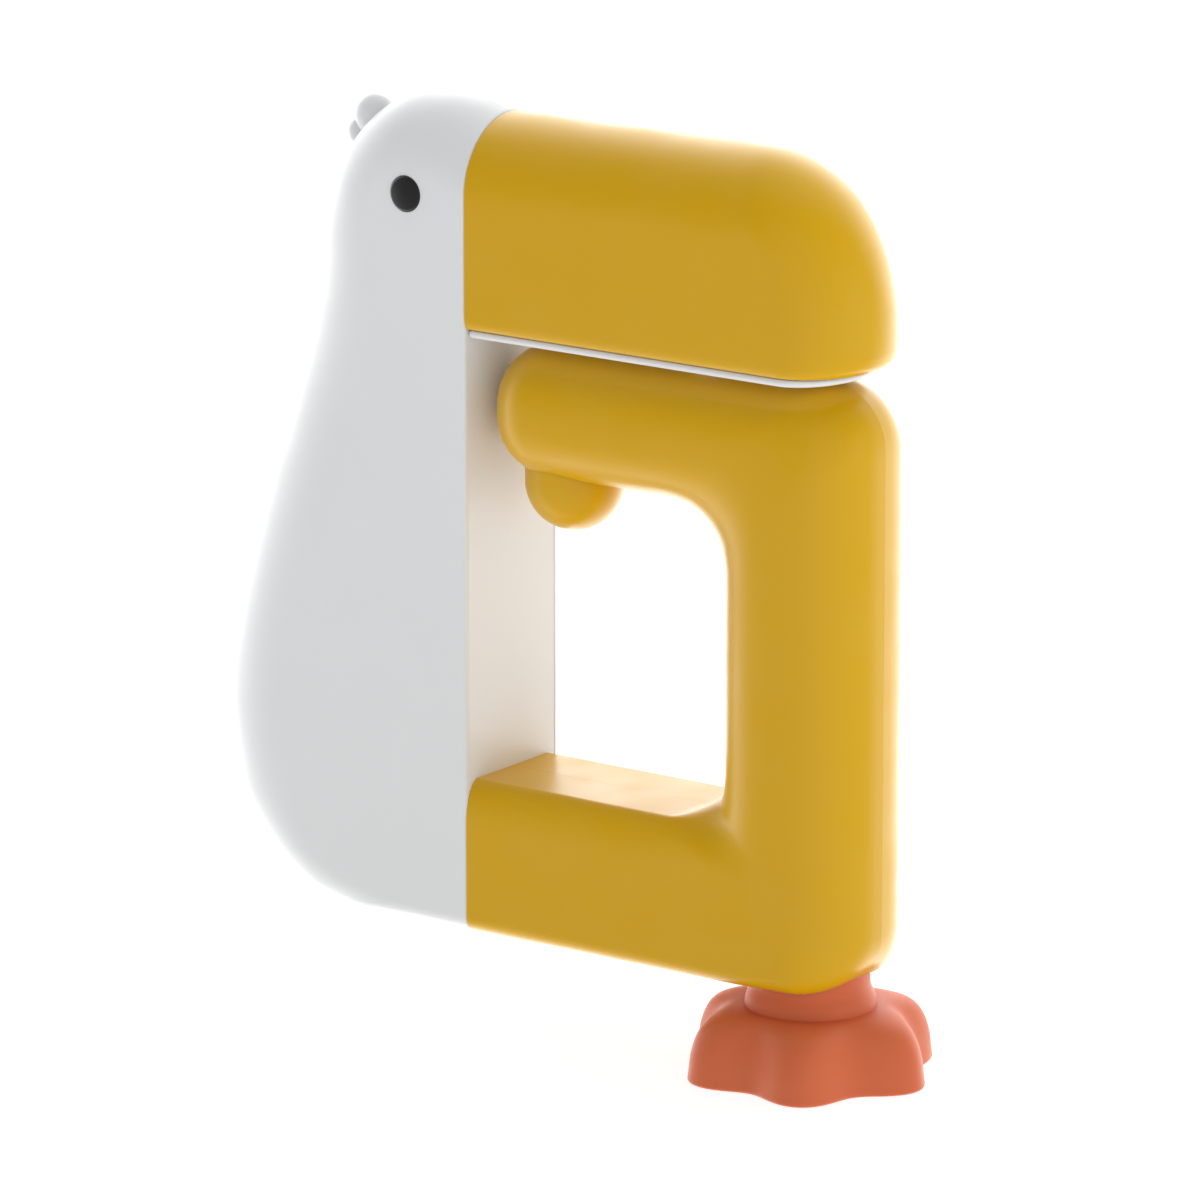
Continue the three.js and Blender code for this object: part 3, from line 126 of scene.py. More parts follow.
def curve_through(points: list[Vector], steps: int) -> list[Vector]:
    """A smooth curve through points.

    Args:
        points: The places that the curve passes through.
        steps: How many pieces each stretch is cut into.

    Returns:
        The points along the curve, both ends included.
    """
    ends = [points[0] * 2 - points[1], *points, points[-1] * 2 - points[-2]]
    line = []
    for a, b, c, d in zip(ends, ends[1:], ends[2:], ends[3:]):
        before, here, after = (math.sqrt((q - p).length) for p, q in ((a, b), (b, c), (c, d)))
        slope_b = (b - a) / before - (c - a) / (before + here) + (c - b) / here
        slope_c = (c - b) / here - (d - b) / (here + after) + (d - c) / after
        for i in range(steps):
            t = i / steps
            line.append(
                b * (2 * t**3 - 3 * t**2 + 1)
                + slope_b * here * (t**3 - 2 * t**2 + t)
                + c * (3 * t**2 - 2 * t**3)
                + slope_c * here * (t**3 - t**2)
            )
    return [*line, points[-1].copy()]


# ---------------------------------------------------------------- modelling


def only(piece: bpy.types.Object) -> None:
    """Selects one object and nothing else."""
    if bpy.context.object and bpy.context.object.mode != "OBJECT":
        bpy.ops.object.mode_set(mode="OBJECT")
    bpy.ops.object.select_all(action="DESELECT")
    piece.select_set(True)
    bpy.context.view_layer.objects.active = piece


def new_piece(name: str, add: Callable[..., Any], **settings: Any) -> bpy.types.Object:
    """Adds a primitive and brings its place into its mesh.

    Args:
        name: The piece's name.
        add: The operator that adds the primitive.
        **settings: What the operator is given.

    Returns:
        The new object, at the origin, unturned and unscaled.
    """
    bpy.ops.object.select_all(action="DESELECT")
    add(**settings)
    piece = bpy.context.object
    piece.name = name
    only(piece)
    bpy.ops.object.transform_apply(location=True, rotation=True, scale=True)
    return piece


def edit(piece: bpy.types.Object, *steps: Callable[[], Any]) -> None:
    """Runs edit-mode steps on all of a piece."""
    only(piece)
    bpy.ops.object.mode_set(mode="EDIT")
    for step in steps:
        step()
    bpy.ops.object.mode_set(mode="OBJECT")


def choose(piece: bpy.types.Object, wanted: Callable[[Vector], bool]) -> None:
    """Selects a piece's vertices by where they lie.

    Args:
        piece: The object to select on.
        wanted: Says whether a point, in metres, is wanted.
    """
    edit(
        piece,
        lambda: bpy.ops.mesh.select_mode(type="VERT"),
        lambda: bpy.ops.mesh.select_all(action="DESELECT"),
    )
    for vertex in piece.data.vertices:
        vertex.select = wanted(vertex.co)


def modify(piece: bpy.types.Object, kind: str, **settings: Any) -> None:
    """Adds a modifier and applies it."""
    only(piece)
    modifier = piece.modifiers.new(kind.lower(), kind)
    for key, value in settings.items():
        setattr(modifier, key, value)
    bpy.ops.object.modifier_apply(modifier=modifier.name)


def merge(piece: bpy.types.Object) -> None:
    """Merges vertices that coincide and turns the faces outwards."""
    edit(
        piece,
        lambda: bpy.ops.mesh.select_all(action="SELECT"),
        lambda: bpy.ops.mesh.remove_doubles(threshold=0.01 * MM),
        lambda: bpy.ops.mesh.dissolve_degenerate(threshold=0.005 * MM),
        lambda: bpy.ops.mesh.select_all(action="SELECT"),
        lambda: bpy.ops.mesh.normals_make_consistent(inside=False),
    )


def skin(name: str, rows: list[list[Vector]]) -> bpy.types.Object:
    """Lays a grid on rows of points and merges what coincides.

    Args:
        name: The piece's name.
        rows: Points in millimetres; every row has as many.

    Returns:
        The new object.
    """
    columns = len(rows[0])
    piece = new_piece(
        name,
        bpy.ops.mesh.primitive_grid_add,
        x_subdivisions=columns - 1,
        y_subdivisions=len(rows) - 1,
        size=2,
    )
    for vertex in piece.data.vertices:
        column = round((vertex.co.x + 1) / 2 * (columns - 1))
        row = round((vertex.co.y + 1) / 2 * (len(rows) - 1))
        vertex.co = spot(*rows[row][column])
    merge(piece)
    return piece


def turned(name: str, profile: list[tuple[float, float]], sides: int, centre: Vector,
           along: Vector = Vector((0, 0, 1))) -> bpy.types.Object:
    """A turned piece about an axis.

    Args:
        name: The piece's name.
        profile: Radius and height of each point of the outline, from axis to axis.
        sides: Facets round the axis.
        centre: Where height 0 is, in millimetres.
        along: The axis, a unit vector.

    Returns:
        The new object.
    """
    across = along.orthogonal().normalized()
    third = along.cross(across)
    rows = []
    for radius, height in profile:
        rows.append([
            centre + along * height + (across * math.cos(a) + third * math.sin(a)) * radius
            for a in (2 * math.pi * (i % sides) / sides for i in range(sides + 1))
        ])
    return skin(name, rows)


def bar(name: str, radius: float, start: Vector, end: Vector, sides: int = 48) -> bpy.types.Object:
    """A plain round bar between two points, as a cutter or a core."""
    reach = end - start
    outline = [(0, 0), (radius, 0), (radius, reach.length), (0, reach.length)]
    return turned(name, outline, sides, start, reach.normalized())


def combine(piece: bpy.types.Object, others: list[bpy.types.Object], how: str) -> None:
    """Cuts or adds other solids, one after another, and removes them."""
    for other in others:
        modify(piece, "BOOLEAN", object=other, operation=how, solver="EXACT")
        bpy.data.objects.remove(other)


def cut(piece: bpy.types.Object, *others: bpy.types.Object) -> None:
    """Cuts other solids out of a piece."""
    combine(piece, list(others), "DIFFERENCE")


def weld(piece: bpy.types.Object, *others: bpy.types.Object) -> None:
    """Adds other solids to a piece."""
    combine(piece, list(others), "UNION")


def bevel_edges(piece: bpy.types.Object, wanted: Callable[[Vector], bool], width: float,
                segments: int = 3, sharp: float = 0.5) -> None:
    """Rounds the sharp edges that lie in a place.

    Args:
        piece: The object to round.
        wanted: Says whether a point, in metres, is in that place.
        width: The size of the round, in millimetres.
        segments: How many facets it gets.
        sharp: The least angle between an edge's faces, in radians.
    """
    edit(
        piece,
        lambda: bpy.ops.mesh.select_mode(type="EDGE"),
        lambda: bpy.ops.mesh.select_all(action="DESELECT"),
        lambda: bpy.ops.mesh.edges_select_sharp(sharpness=sharp),
    )
    mesh = piece.data
    for edge in mesh.edges:
        edge.select = edge.select and all(wanted(mesh.vertices[i].co) for i in edge.vertices)
    edit(
        piece,
        lambda: bpy.ops.mesh.bevel(offset=width * MM, segments=segments, clamp_overlap=True),
    )


def smooth(piece: bpy.types.Object, angle: float = SMOOTH_ANGLE) -> None:
    """Shades a piece smooth across soft edges, with its large flat faces kept flat."""
    only(piece)
    bpy.ops.object.shade_smooth_by_angle(angle=angle)
    modify(piece, "WEIGHTED_NORMAL", keep_sharp=True)


def place_piece(piece: bpy.types.Object, body: str, slot: str, finish: bpy.types.Material,
                *nodes: str) -> None:
    """Dresses a finished piece and hands it to the frame.

    Args:
        piece: The object.
        body: The body that it moves with.
        slot: The record's material slot; not used.
        finish: Its material.
        *nodes: The nodes that it stands for.
    """
    piece.data.materials.clear()
    piece.data.materials.append(finish)
    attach(piece, body)
    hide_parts(*nodes)
    LOG.info("%s: %d faces, on %s", piece.name, len(piece.data.polygons), body)


# ---------------------------------------------------------------- finishes


def linear(colour: str) -> tuple[float, float, float, float]:
    """An sRGB hex colour as the linear values that a shader takes."""
    shares = [int(colour[i : i + 2], 16) / 255 for i in (1, 3, 5)]
    bent = [s / 12.92 if s <= 0.04045 else ((s + 0.055) / 1.055) ** 2.4 for s in shares]
    return (*bent, 1.0)


def new_material(name: str) -> tuple[bpy.types.Material, bpy.types.NodeTree]:
    """A material with an empty node tree, and that tree."""
    material = bpy.data.materials.new(name)
    material.use_nodes = True
    tree = material.node_tree
    tree.nodes.clear()
    return material, tree


def add_node(tree: bpy.types.NodeTree, kind: str, settings: dict[str, Any] | None = None,
             links: dict[str | int, bpy.types.NodeSocket] | None = None,
             **options: Any) -> bpy.types.Node:
    """Adds a node with its settings and links.

    Args:
        tree: The node tree.
        kind: The node's type.
        settings: Values of its inputs, by name or number.
        links: What is linked to its inputs, by name or number.
        **options: The node's own options.

    Returns:
        The node.
    """
    node = tree.nodes.new(kind)
    for key, value in options.items():
        setattr(node, key, value)
    for key, value in (settings or {}).items():
        node.inputs[key].default_value = value
    for key, source in (links or {}).items():
        tree.links.new(source, node.inputs[key])
    return node


@dataclass(frozen=True)
class Moulded:
    """Plastic or rubber from a mould: one even colour under a fine spark-eroded grain.

    The grain breaks the highlights up a little, and slow waves in the gloss are the flow of the
    plastic in the mould.
    """

    name: str
    colour: str
    roughness: float
    swing: float = 0.05  # how far the roughness varies
    grain: float = 0.35  # millimetres from one grain to the next
    depth: float = 0.004  # millimetres
    ior: float = 1.53

    def build(self) -> bpy.types.Material:
        """Makes the material."""
        material, tree = new_material(self.name)
        place = add_node(tree, "ShaderNodeTexCoord").outputs["Object"]
        flow = add_node(
            tree, "ShaderNodeTexNoise", {"Scale": 1 / (14 * MM), "Detail": 2.0}, {"Vector": place}
        )
        gloss = add_node(
            tree,
            "ShaderNodeMapRange",
            {"From Min": 0.3, "From Max": 0.7, "To Min": self.roughness - self.swing,
             "To Max": self.roughness + self.swing},
            {"Value": flow.outputs["Fac"]},
        )
        grain = add_node(
            tree, "ShaderNodeTexNoise", {"Scale": 1 / (self.grain * MM), "Detail": 3.0},
            {"Vector": place},
        )
        bump = add_node(
            tree, "ShaderNodeBump", {"Strength": 1.0, "Distance": self.depth * MM},
            {"Height": grain.outputs["Fac"]},
        )
        shader = add_node(
            tree,
            "ShaderNodeBsdfPrincipled",
            {"Base Color": linear(self.colour), "IOR": self.ior},
            {"Roughness": gloss.outputs["Result"], "Normal": bump.outputs["Normal"]},
        )
        add_node(tree, "ShaderNodeOutputMaterial", {}, {"Surface": shader.outputs["BSDF"]})
        return material


@dataclass(frozen=True)
class ClearPlastic:
    """Blow-moulded clear plastic: see-through, with a faint ripple in its thickness."""

    name: str
    colour: str
    roughness: float
    ripple: float = 9.0  # millimetres

    def build(self) -> bpy.types.Material:
        """Makes the material."""
        material, tree = new_material(self.name)
        place = add_node(tree, "ShaderNodeTexCoord").outputs["Object"]
        ripple = add_node(
            tree, "ShaderNodeTexNoise", {"Scale": 1 / (self.ripple * MM)}, {"Vector": place}
        )
        bump = add_node(
            tree, "ShaderNodeBump", {"Strength": 0.3, "Distance": 0.1 * MM},
            {"Height": ripple.outputs["Fac"]},
        )
        shader = add_node(
            tree,
            "ShaderNodeBsdfPrincipled",
            {"Base Color": linear(self.colour), "Roughness": self.roughness, "IOR": 1.5,
             "Transmission Weight": 0.85},
            {"Normal": bump.outputs["Normal"]},
        )
        add_node(tree, "ShaderNodeOutputMaterial", {}, {"Surface": shader.outputs["BSDF"]})
        return material


@dataclass(frozen=True)
class Metal:
    """Plated steel, drawn or rolled: grey, with fine scratches across it."""

    name: str
    colour: str
    roughness: float
    scratch: float = 0.2  # millimetres between scratches

    def build(self) -> bpy.types.Material:
        """Makes the material."""
        material, tree = new_material(self.name)
        place = add_node(tree, "ShaderNodeTexCoord").outputs["Object"]
        drawn = add_node(
            tree, "ShaderNodeMapping", {"Scale": (1.0, 1.0, 0.08)}, {"Vector": place}
        )
        lines = add_node(
            tree, "ShaderNodeTexNoise", {"Scale": 1 / (self.scratch * MM), "Detail": 4.0},
            {"Vector": drawn.outputs["Vector"]},
        )
        gloss = add_node(
            tree,
            "ShaderNodeMapRange",
            {"To Min": self.roughness - 0.08, "To Max": self.roughness + 0.12},
            {"Value": lines.outputs["Fac"]},
        )
        shader = add_node(
            tree,
            "ShaderNodeBsdfPrincipled",
            {"Base Color": linear(self.colour), "Metallic": 1.0},
            {"Roughness": gloss.outputs["Result"]},
        )
        add_node(tree, "ShaderNodeOutputMaterial", {}, {"Surface": shader.outputs["BSDF"]})
        return material


WHITE_ABS = Moulded("white moulded ABS", "#EBECED", 0.36)
YELLOW_ABS = Moulded("yellow moulded ABS", "#DDAB00", 0.34, depth=0.003)
CORAL_TPE = Moulded("coral thermoplastic rubber", "#D96A3E", 0.55, grain=0.5, depth=0.006)
EYE_GLOSS = Moulded("black polished acrylic", "#2B2B2C", 0.34, swing=0.02, depth=0.0005)
BLACK_RUBBER = Moulded("black nitrile rubber", "#2A2B2D", 0.7, grain=0.6, depth=0.01)
LEAD_PVC = Moulded("black lead PVC", "#232325", 0.5, depth=0.004)
SWITCH_PLASTIC = Moulded("black switch nylon", "#2C2D30", 0.5)
GREY_ACETAL = Moulded("grey acetal", "#8B8F92", 0.42, grain=0.25, ior=1.48)
CIRCUIT = Moulded("green solder mask on glass fibre", "#1F5D3A", 0.3, grain=0.7, depth=0.02)
CELL_WRAP = Moulded("blue shrink film on a cell", "#2F6FA8", 0.28, grain=1.5, depth=0.01)
CLEAR = ClearPlastic("clear blow-moulded PET", "#E9F2F4", 0.08)
STEEL = Metal("zinc plated steel", "#B9BCC0", 0.32)

SLOT_FINISH = {
    "white_abs": WHITE_ABS,
    "yellow_abs": YELLOW_ABS,
    "coral_tpe": CORAL_TPE,
    "black_gloss": EYE_GLOSS,
    "black_rubber": BLACK_RUBBER,
    "lead_pvc": LEAD_PVC,
    "switch_plastic": SWITCH_PLASTIC,
    "clear_plastic": CLEAR,
    "grey_acetal": GREY_ACETAL,
    "zinc_steel": STEEL,
    "circuit_green": CIRCUIT,
    "cell_wrap": CELL_WRAP,
}


# ---------------------------------------------------------------- body


@dataclass
class Body:
    """The white grip: two shell halves, the front panel between them, the eyes and the crest."""

    finishes: dict[str, bpy.types.Material]
    back: list[tuple[float, float]] = field(default_factory=lambda: [
        (-50, 0), (-63, 4.2), (-72.5, 12), (-79.3, 22.5), (-82.6, 36), (-82.4, 52), (-79.6, 68),
        (-72.3, 93), (-64.7, 115), (-57.6, 136), (-53, 156), (-50.6, 171), (-46, 184.5),
        (-37.5, 195.6), (-27.5, 201.6), (-16.5, 203), (-7, 201.9), (0, 199.7),
    ])
    corner: float = 4.0  # edge radius along the flat bottom
    edge_depth: float = 26.5  # how far the side's soft edge reaches in from the outline
    head_edge_depth: float = 18.4
    wall: float = 1.2
    panel_thickness: float = 2.5
    front_edge: float = 0.8
    eye_x: float = -17.4
    eye_z: float = 180.6
    eye_radius: float = 4.4
    crest_peg: tuple[tuple[float, float, float], ...] = ((-43, 0, 193), (-36, 0, 187.5))
    crest_peg_radius: float = 1.6
    crest_hole_radius: float = 1.7
    panel_screws: tuple[tuple[float, float], ...] = ((-9, 160), (9, 160), (-9, 29), (9, 29))
    panel_screw_hole: float = 1.45
    hose_heights: tuple[float, float] = (17, 166)
    eye_sink: float = 1.2
    screws: tuple[tuple[float, float], ...] = ((-28, 190), (-47, 119), (-62, 87), (-61, 26))
    across_steps: int = 16
    top: float = 199.7

    def outline(self) -> list[tuple[Vector, Vector]]:
        """The side view from the front bottom round the back to the front top.

        Returns:
            Each point with the unit direction inwards from it.
        """
        curve = curve_through([Vector((x, 0, z)) for x, z in self.back], 6)
        first = self.back[0][0]
        bottom = [Vector((first * i / 8, 0, 0)) for i in range(8)]
        points = [*bottom, *curve]
        found = []
        for i, point in enumerate(points):
            along = (points[min(i + 1, len(points) - 1)] - points[max(i - 1, 0)]).normalized()
            inward = Vector((along.z, 0, -along.x))
            inward.x *= 1 - smoothstep(point.x, -16, 0)
            found.append((point, inward.normalized()))
        return found

    def slice_at(self, outline: list[tuple[Vector, Vector]], angle: float, side: int,
                 grow: float = 0) -> list[Vector]:
        """The outline drawn in as it is at one distance from the middle plane.

        Args:
            outline: The side view.
            angle: From 0 at the middle plane to a right angle on the flat side.
            side: 1 for the left, -1 for the right.
            grow: How far the surface is moved out.

        Returns:
            The slice's points.
        """
        y = max(SEAM, HALF * math.sin(angle))
        share = 1 - math.cos(angle)
        rise = self.corner * drawn_in(max(0.0, y - HALF + self.corner) / self.corner)
        row = []
        for point, inward in outline:
            depth = lerp(self.edge_depth, self.head_edge_depth, smoothstep(point.z, 140, 190))
            if point.z < 0.01:
                x = point.x * (1 + self.edge_depth * share / self.back[0][0])
                row.append(Vector((x, side * (y + grow), rise - grow)))
                continue
            level = smoothstep(point.z, 20, 50)
            direction = Vector((1, 0, 0)).lerp(inward, level)
            place = point + direction * (depth * share) - inward * grow
            lift = rise * (1 - smoothstep(point.z, 0, 12))
            row.append(Vector((min(place.x, 0), side * (y + grow), place.z + lift)))
        return row

    def half(self, side: Side) -> bpy.types.Object:
        """One half of the shell, before its holes."""
        outline = self.outline()
        rows = [
            self.slice_at(outline, math.pi / 2 * i / self.across_steps, side.value)
            for i in range(self.across_steps + 1)
        ]
        shell = skin(f"grip_half_{side.name.lower()}", rows)
        limit = (HALF - 0.01) * MM
        choose(shell, lambda p: abs(p.y) > limit)
        edit(shell, lambda: bpy.ops.mesh.edge_face_add())
        merge(shell)
        modify(shell, "SOLIDIFY", thickness=self.wall * MM, offset=-1, use_even_offset=True)
        return shell


    def solid(self, grow: float) -> bpy.types.Object:
        """The whole outside of the body as a closed cutter, moved out by a distance."""
        outline = self.outline()
        angles = [math.pi / 2 * i / 8 for i in range(9)]
        rows = [self.slice_at(outline, angle, -1, grow) for angle in reversed(angles)]
        rows += [self.slice_at(outline, angle, 1, grow) for angle in angles]
        middle = spot_mean(rows[0]), spot_mean(rows[-1])
        rows = [[middle[0]] * len(rows[0]), *rows, [middle[1]] * len(rows[0])]
        closed = [[*row, row[0]] for row in rows]
        return skin("body outside", closed)

    def shell(self, side: Side) -> bpy.types.Object:
        """One half of the shell with its holes, screw seats and rounded front edge."""
        piece = self.half(side)
        front = ORIGIN.x - 0.01 * MM

        def outer_front(p: Vector) -> bool:
            height = (p.z - ORIGIN.z) / MM
            return p.x > front and self.on_outline(abs(p.y) / MM, height)

        bevel_edges(piece, outer_front, self.front_edge)
        y = side.value
        sink = Vector((self.eye_x, y * (HALF - self.eye_sink), self.eye_z))
        out = Vector((0, y, 0))
        cuts = [
            bar("eye socket", self.eye_radius + FIT, sink, sink + out * 5, 64),
            bar("crest hole", self.crest_hole_radius, *map(Vector, self.crest_peg), 24),
        ]
        if side is Side.LEFT:
            for x, z in self.screws:
                weld(piece, screw_post(x, z, self.solid(-0.6)))
                cuts += screw_hole(x, z)
        cut(piece, *cuts)
        return piece

    def on_outline(self, y: float, z: float) -> bool:
        """Whether a point of the front plane lies on the outside edge of the front face."""
        if z > SIDE_TOP:
            rise = (z - SIDE_TOP) / (self.top - SIDE_TOP)
            return math.hypot(y / HALF, rise) > 0.985
        if z < self.corner:
            reach = math.hypot(max(0, y - HALF + self.corner), self.corner - z)
            return z < 0.02 or reach > self.corner - 0.3
        return y > HALF - 0.3

    def panel(self) -> bpy.types.Object:
        """The flat front panel, set between the rims of the two halves."""
        inset = self.wall + FIT
        half = HALF - inset
        corner = self.corner - inset
        top = self.top - SIDE_TOP - inset
        rim = []
        for i in range(11):
            angle = math.pi / 2 * i / 10
            rim.append((half - corner + corner * math.sin(angle),
                        inset + corner - corner * math.cos(angle)))
        for i in range(49):
            angle = math.pi * i / 48
            rim.append((half * math.cos(angle), SIDE_TOP + top * math.sin(angle)))
        rim += [(-y, z) for y, z in reversed(rim[:11])]
        panel = new_piece(
            "grip_front", bpy.ops.mesh.primitive_circle_add, vertices=len(rim), fill_type="NGON"
        )
        for vertex, (y, z) in zip(panel.data.vertices, rim):
            vertex.co = spot(0, y, z)
        back = -self.panel_thickness * MM
        edit(
            panel,
            lambda: bpy.ops.mesh.select_all(action="SELECT"),
            lambda: bpy.ops.mesh.extrude_region_move(
                TRANSFORM_OT_translate={"value": (back, 0, 0)}
            ),
        )
        merge(panel)
        bevel_edges(panel, lambda p: p.x > ORIGIN.x - 0.01 * MM, 0.25, 2)
        cut(
            panel,
            *[bar("hole", self.panel_screw_hole, Vector((-9, y, z)), Vector((5, y, z)), 24)
              for y, z in self.panel_screws],
            *[bar("hole", HOSE_HOLE, Vector((-9, 0, z)), Vector((5, 0, z)), 32)
              for z in self.hose_heights],
            bar("hole", 2, Vector((-9, -5, 156)), Vector((5, -5, 156)), 24),
        )
        return panel

    def eye(self, side: Side) -> bpy.types.Object:
        """A domed, polished disc that fills its socket."""
        radius = self.eye_radius
        profile = [(0, 0), (radius, 0)]
        edge = 1.0
        for i in range(7):
            angle = math.pi / 2 * i / 6
            profile.append((radius - edge + edge * math.cos(angle), 0.9 + edge * math.sin(angle)))
        for i in range(1, 9):
            share = i / 8
            profile.append(((radius - edge) * (1 - share),
                            0.9 + edge + 0.3 * (1 - (1 - share) ** 2)))
        centre = Vector((self.eye_x, side.value * (HALF - self.eye_sink + 0.05), self.eye_z))
        name = f"eye_dome_{side.name.lower()}"
        return turned(name, profile, 64, centre, Vector((0, side.value, 0)))

    def crest(self) -> bpy.types.Object:
        """Two round tufts that run into one another, on a peg."""
        tufts = []
        for x, z, radius in ((-40.4, 194.1, 5.4), (-44.6, 189.6, 3.7)):
            tuft = new_piece(
                "tuft", bpy.ops.mesh.primitive_uv_sphere_add, segments=64, ring_count=32,
                radius=radius * MM, location=spot(x, 0, z),
            )
            only(tuft)
            bpy.ops.object.mode_set(mode="EDIT")
            bpy.ops.mesh.select_all(action="SELECT")
            bpy.ops.transform.resize(value=(1, 0.85, 1), center_override=spot(x, 0, z))
            bpy.ops.object.mode_set(mode="OBJECT")
            tufts.append(tuft)
        crest, small = tufts
        crest.name = "crest_tufts"
        weld(crest, small)
        cut(crest, self.solid(0.1))
        weld(crest, bar("peg", self.crest_peg_radius, *map(Vector, self.crest_peg), 24))
        return crest

    def build(self) -> None:
        """Makes every piece of the body and dresses it."""
        white = self.finishes["white_abs"]
        for side in Side:
            name = side.name.lower()
            shell = self.shell(side)
            smooth(shell)
            place_piece(shell, "toy", "white_abs", white, f"body_shell_{name}")
            eye = self.eye(side)
            smooth(eye)
            place_piece(eye, "toy", "black_gloss", self.finishes["black_gloss"], f"eye_{name}")
        panel = self.panel()
        smooth(panel)
        place_piece(panel, "toy", "white_abs", white, "front_panel")
        crest = self.crest()
        smooth(crest)
        place_piece(crest, "toy", "white_abs", white, "crest")
        for i, (x, z) in enumerate(self.screws):
            screw = side_screw(f"grip_screw_{i + 1}", x, z)
            steel = self.finishes["zinc_steel"]
            place_piece(screw, "toy", "zinc_steel", steel, f"body_screw_{i + 1}")


# ---------------------------------------------------------------- screws

HEAD_SEAT = 8.0  # how far from the middle plane a side screw's head sits
HEAD_RADIUS = 2.5
SHANK_HOLE = 1.45
HEAD_HOLE = 2.9
POST_RADIUS = 4.4


def screw_hole(x: float, z: float) -> list[bpy.types.Object]:
    """The stepped hole that a side screw goes in from the left."""
    seat = Vector((x, HEAD_SEAT, z))
    out = Vector((0, 1, 0))
    return [
        bar("shank hole", SHANK_HOLE, Vector((x, -1, z)), Vector((x, HALF + 5, z)), 24),
        bar("head hole", HEAD_HOLE, seat, seat + out * 20, 40),
    ]


def screw_post(x: float, z: float, inside: bpy.types.Object) -> bpy.types.Object:
    """The post that holds a side screw's head, trimmed to stay within the shell."""
    post = bar("post", POST_RADIUS, Vector((x, SEAM, z)), Vector((x, HALF, z)), 40)
    combine(post, [inside], "INTERSECT")
    return post


def side_screw(name: str, x: float, z: float) -> bpy.types.Object:
    """A pan-head self-tapping screw with a slot, along Y."""
    seat = Vector((x, HEAD_SEAT + 0.05, z))
    profile = [(0, -14), (0.3, -13.6), (1.1, -11.5), (1.1, 0), (HEAD_RADIUS, 0),
               (HEAD_RADIUS, 0.9)]
    for i in range(1, 7):
        angle = math.pi / 2 * i / 6
        profile.append((HEAD_RADIUS - 0.9 + 0.9 * math.cos(angle), 0.9 + 0.7 * math.sin(angle)))
    profile += [(0.8, 1.75), (0, 1.8)]
    screw = turned(name, profile, 40, seat, Vector((0, 1, 0)))
    slot = new_piece(
        "slot", bpy.ops.mesh.primitive_cube_add, size=1,
        location=spot(x, HEAD_SEAT + 0.05 + 1.6, z), scale=(5.4 * MM, 1.4 * MM, 0.7 * MM),
    )
    cut(screw, slot)
    smooth(screw)
    return screw


# ---------------------------------------------------------------- beak


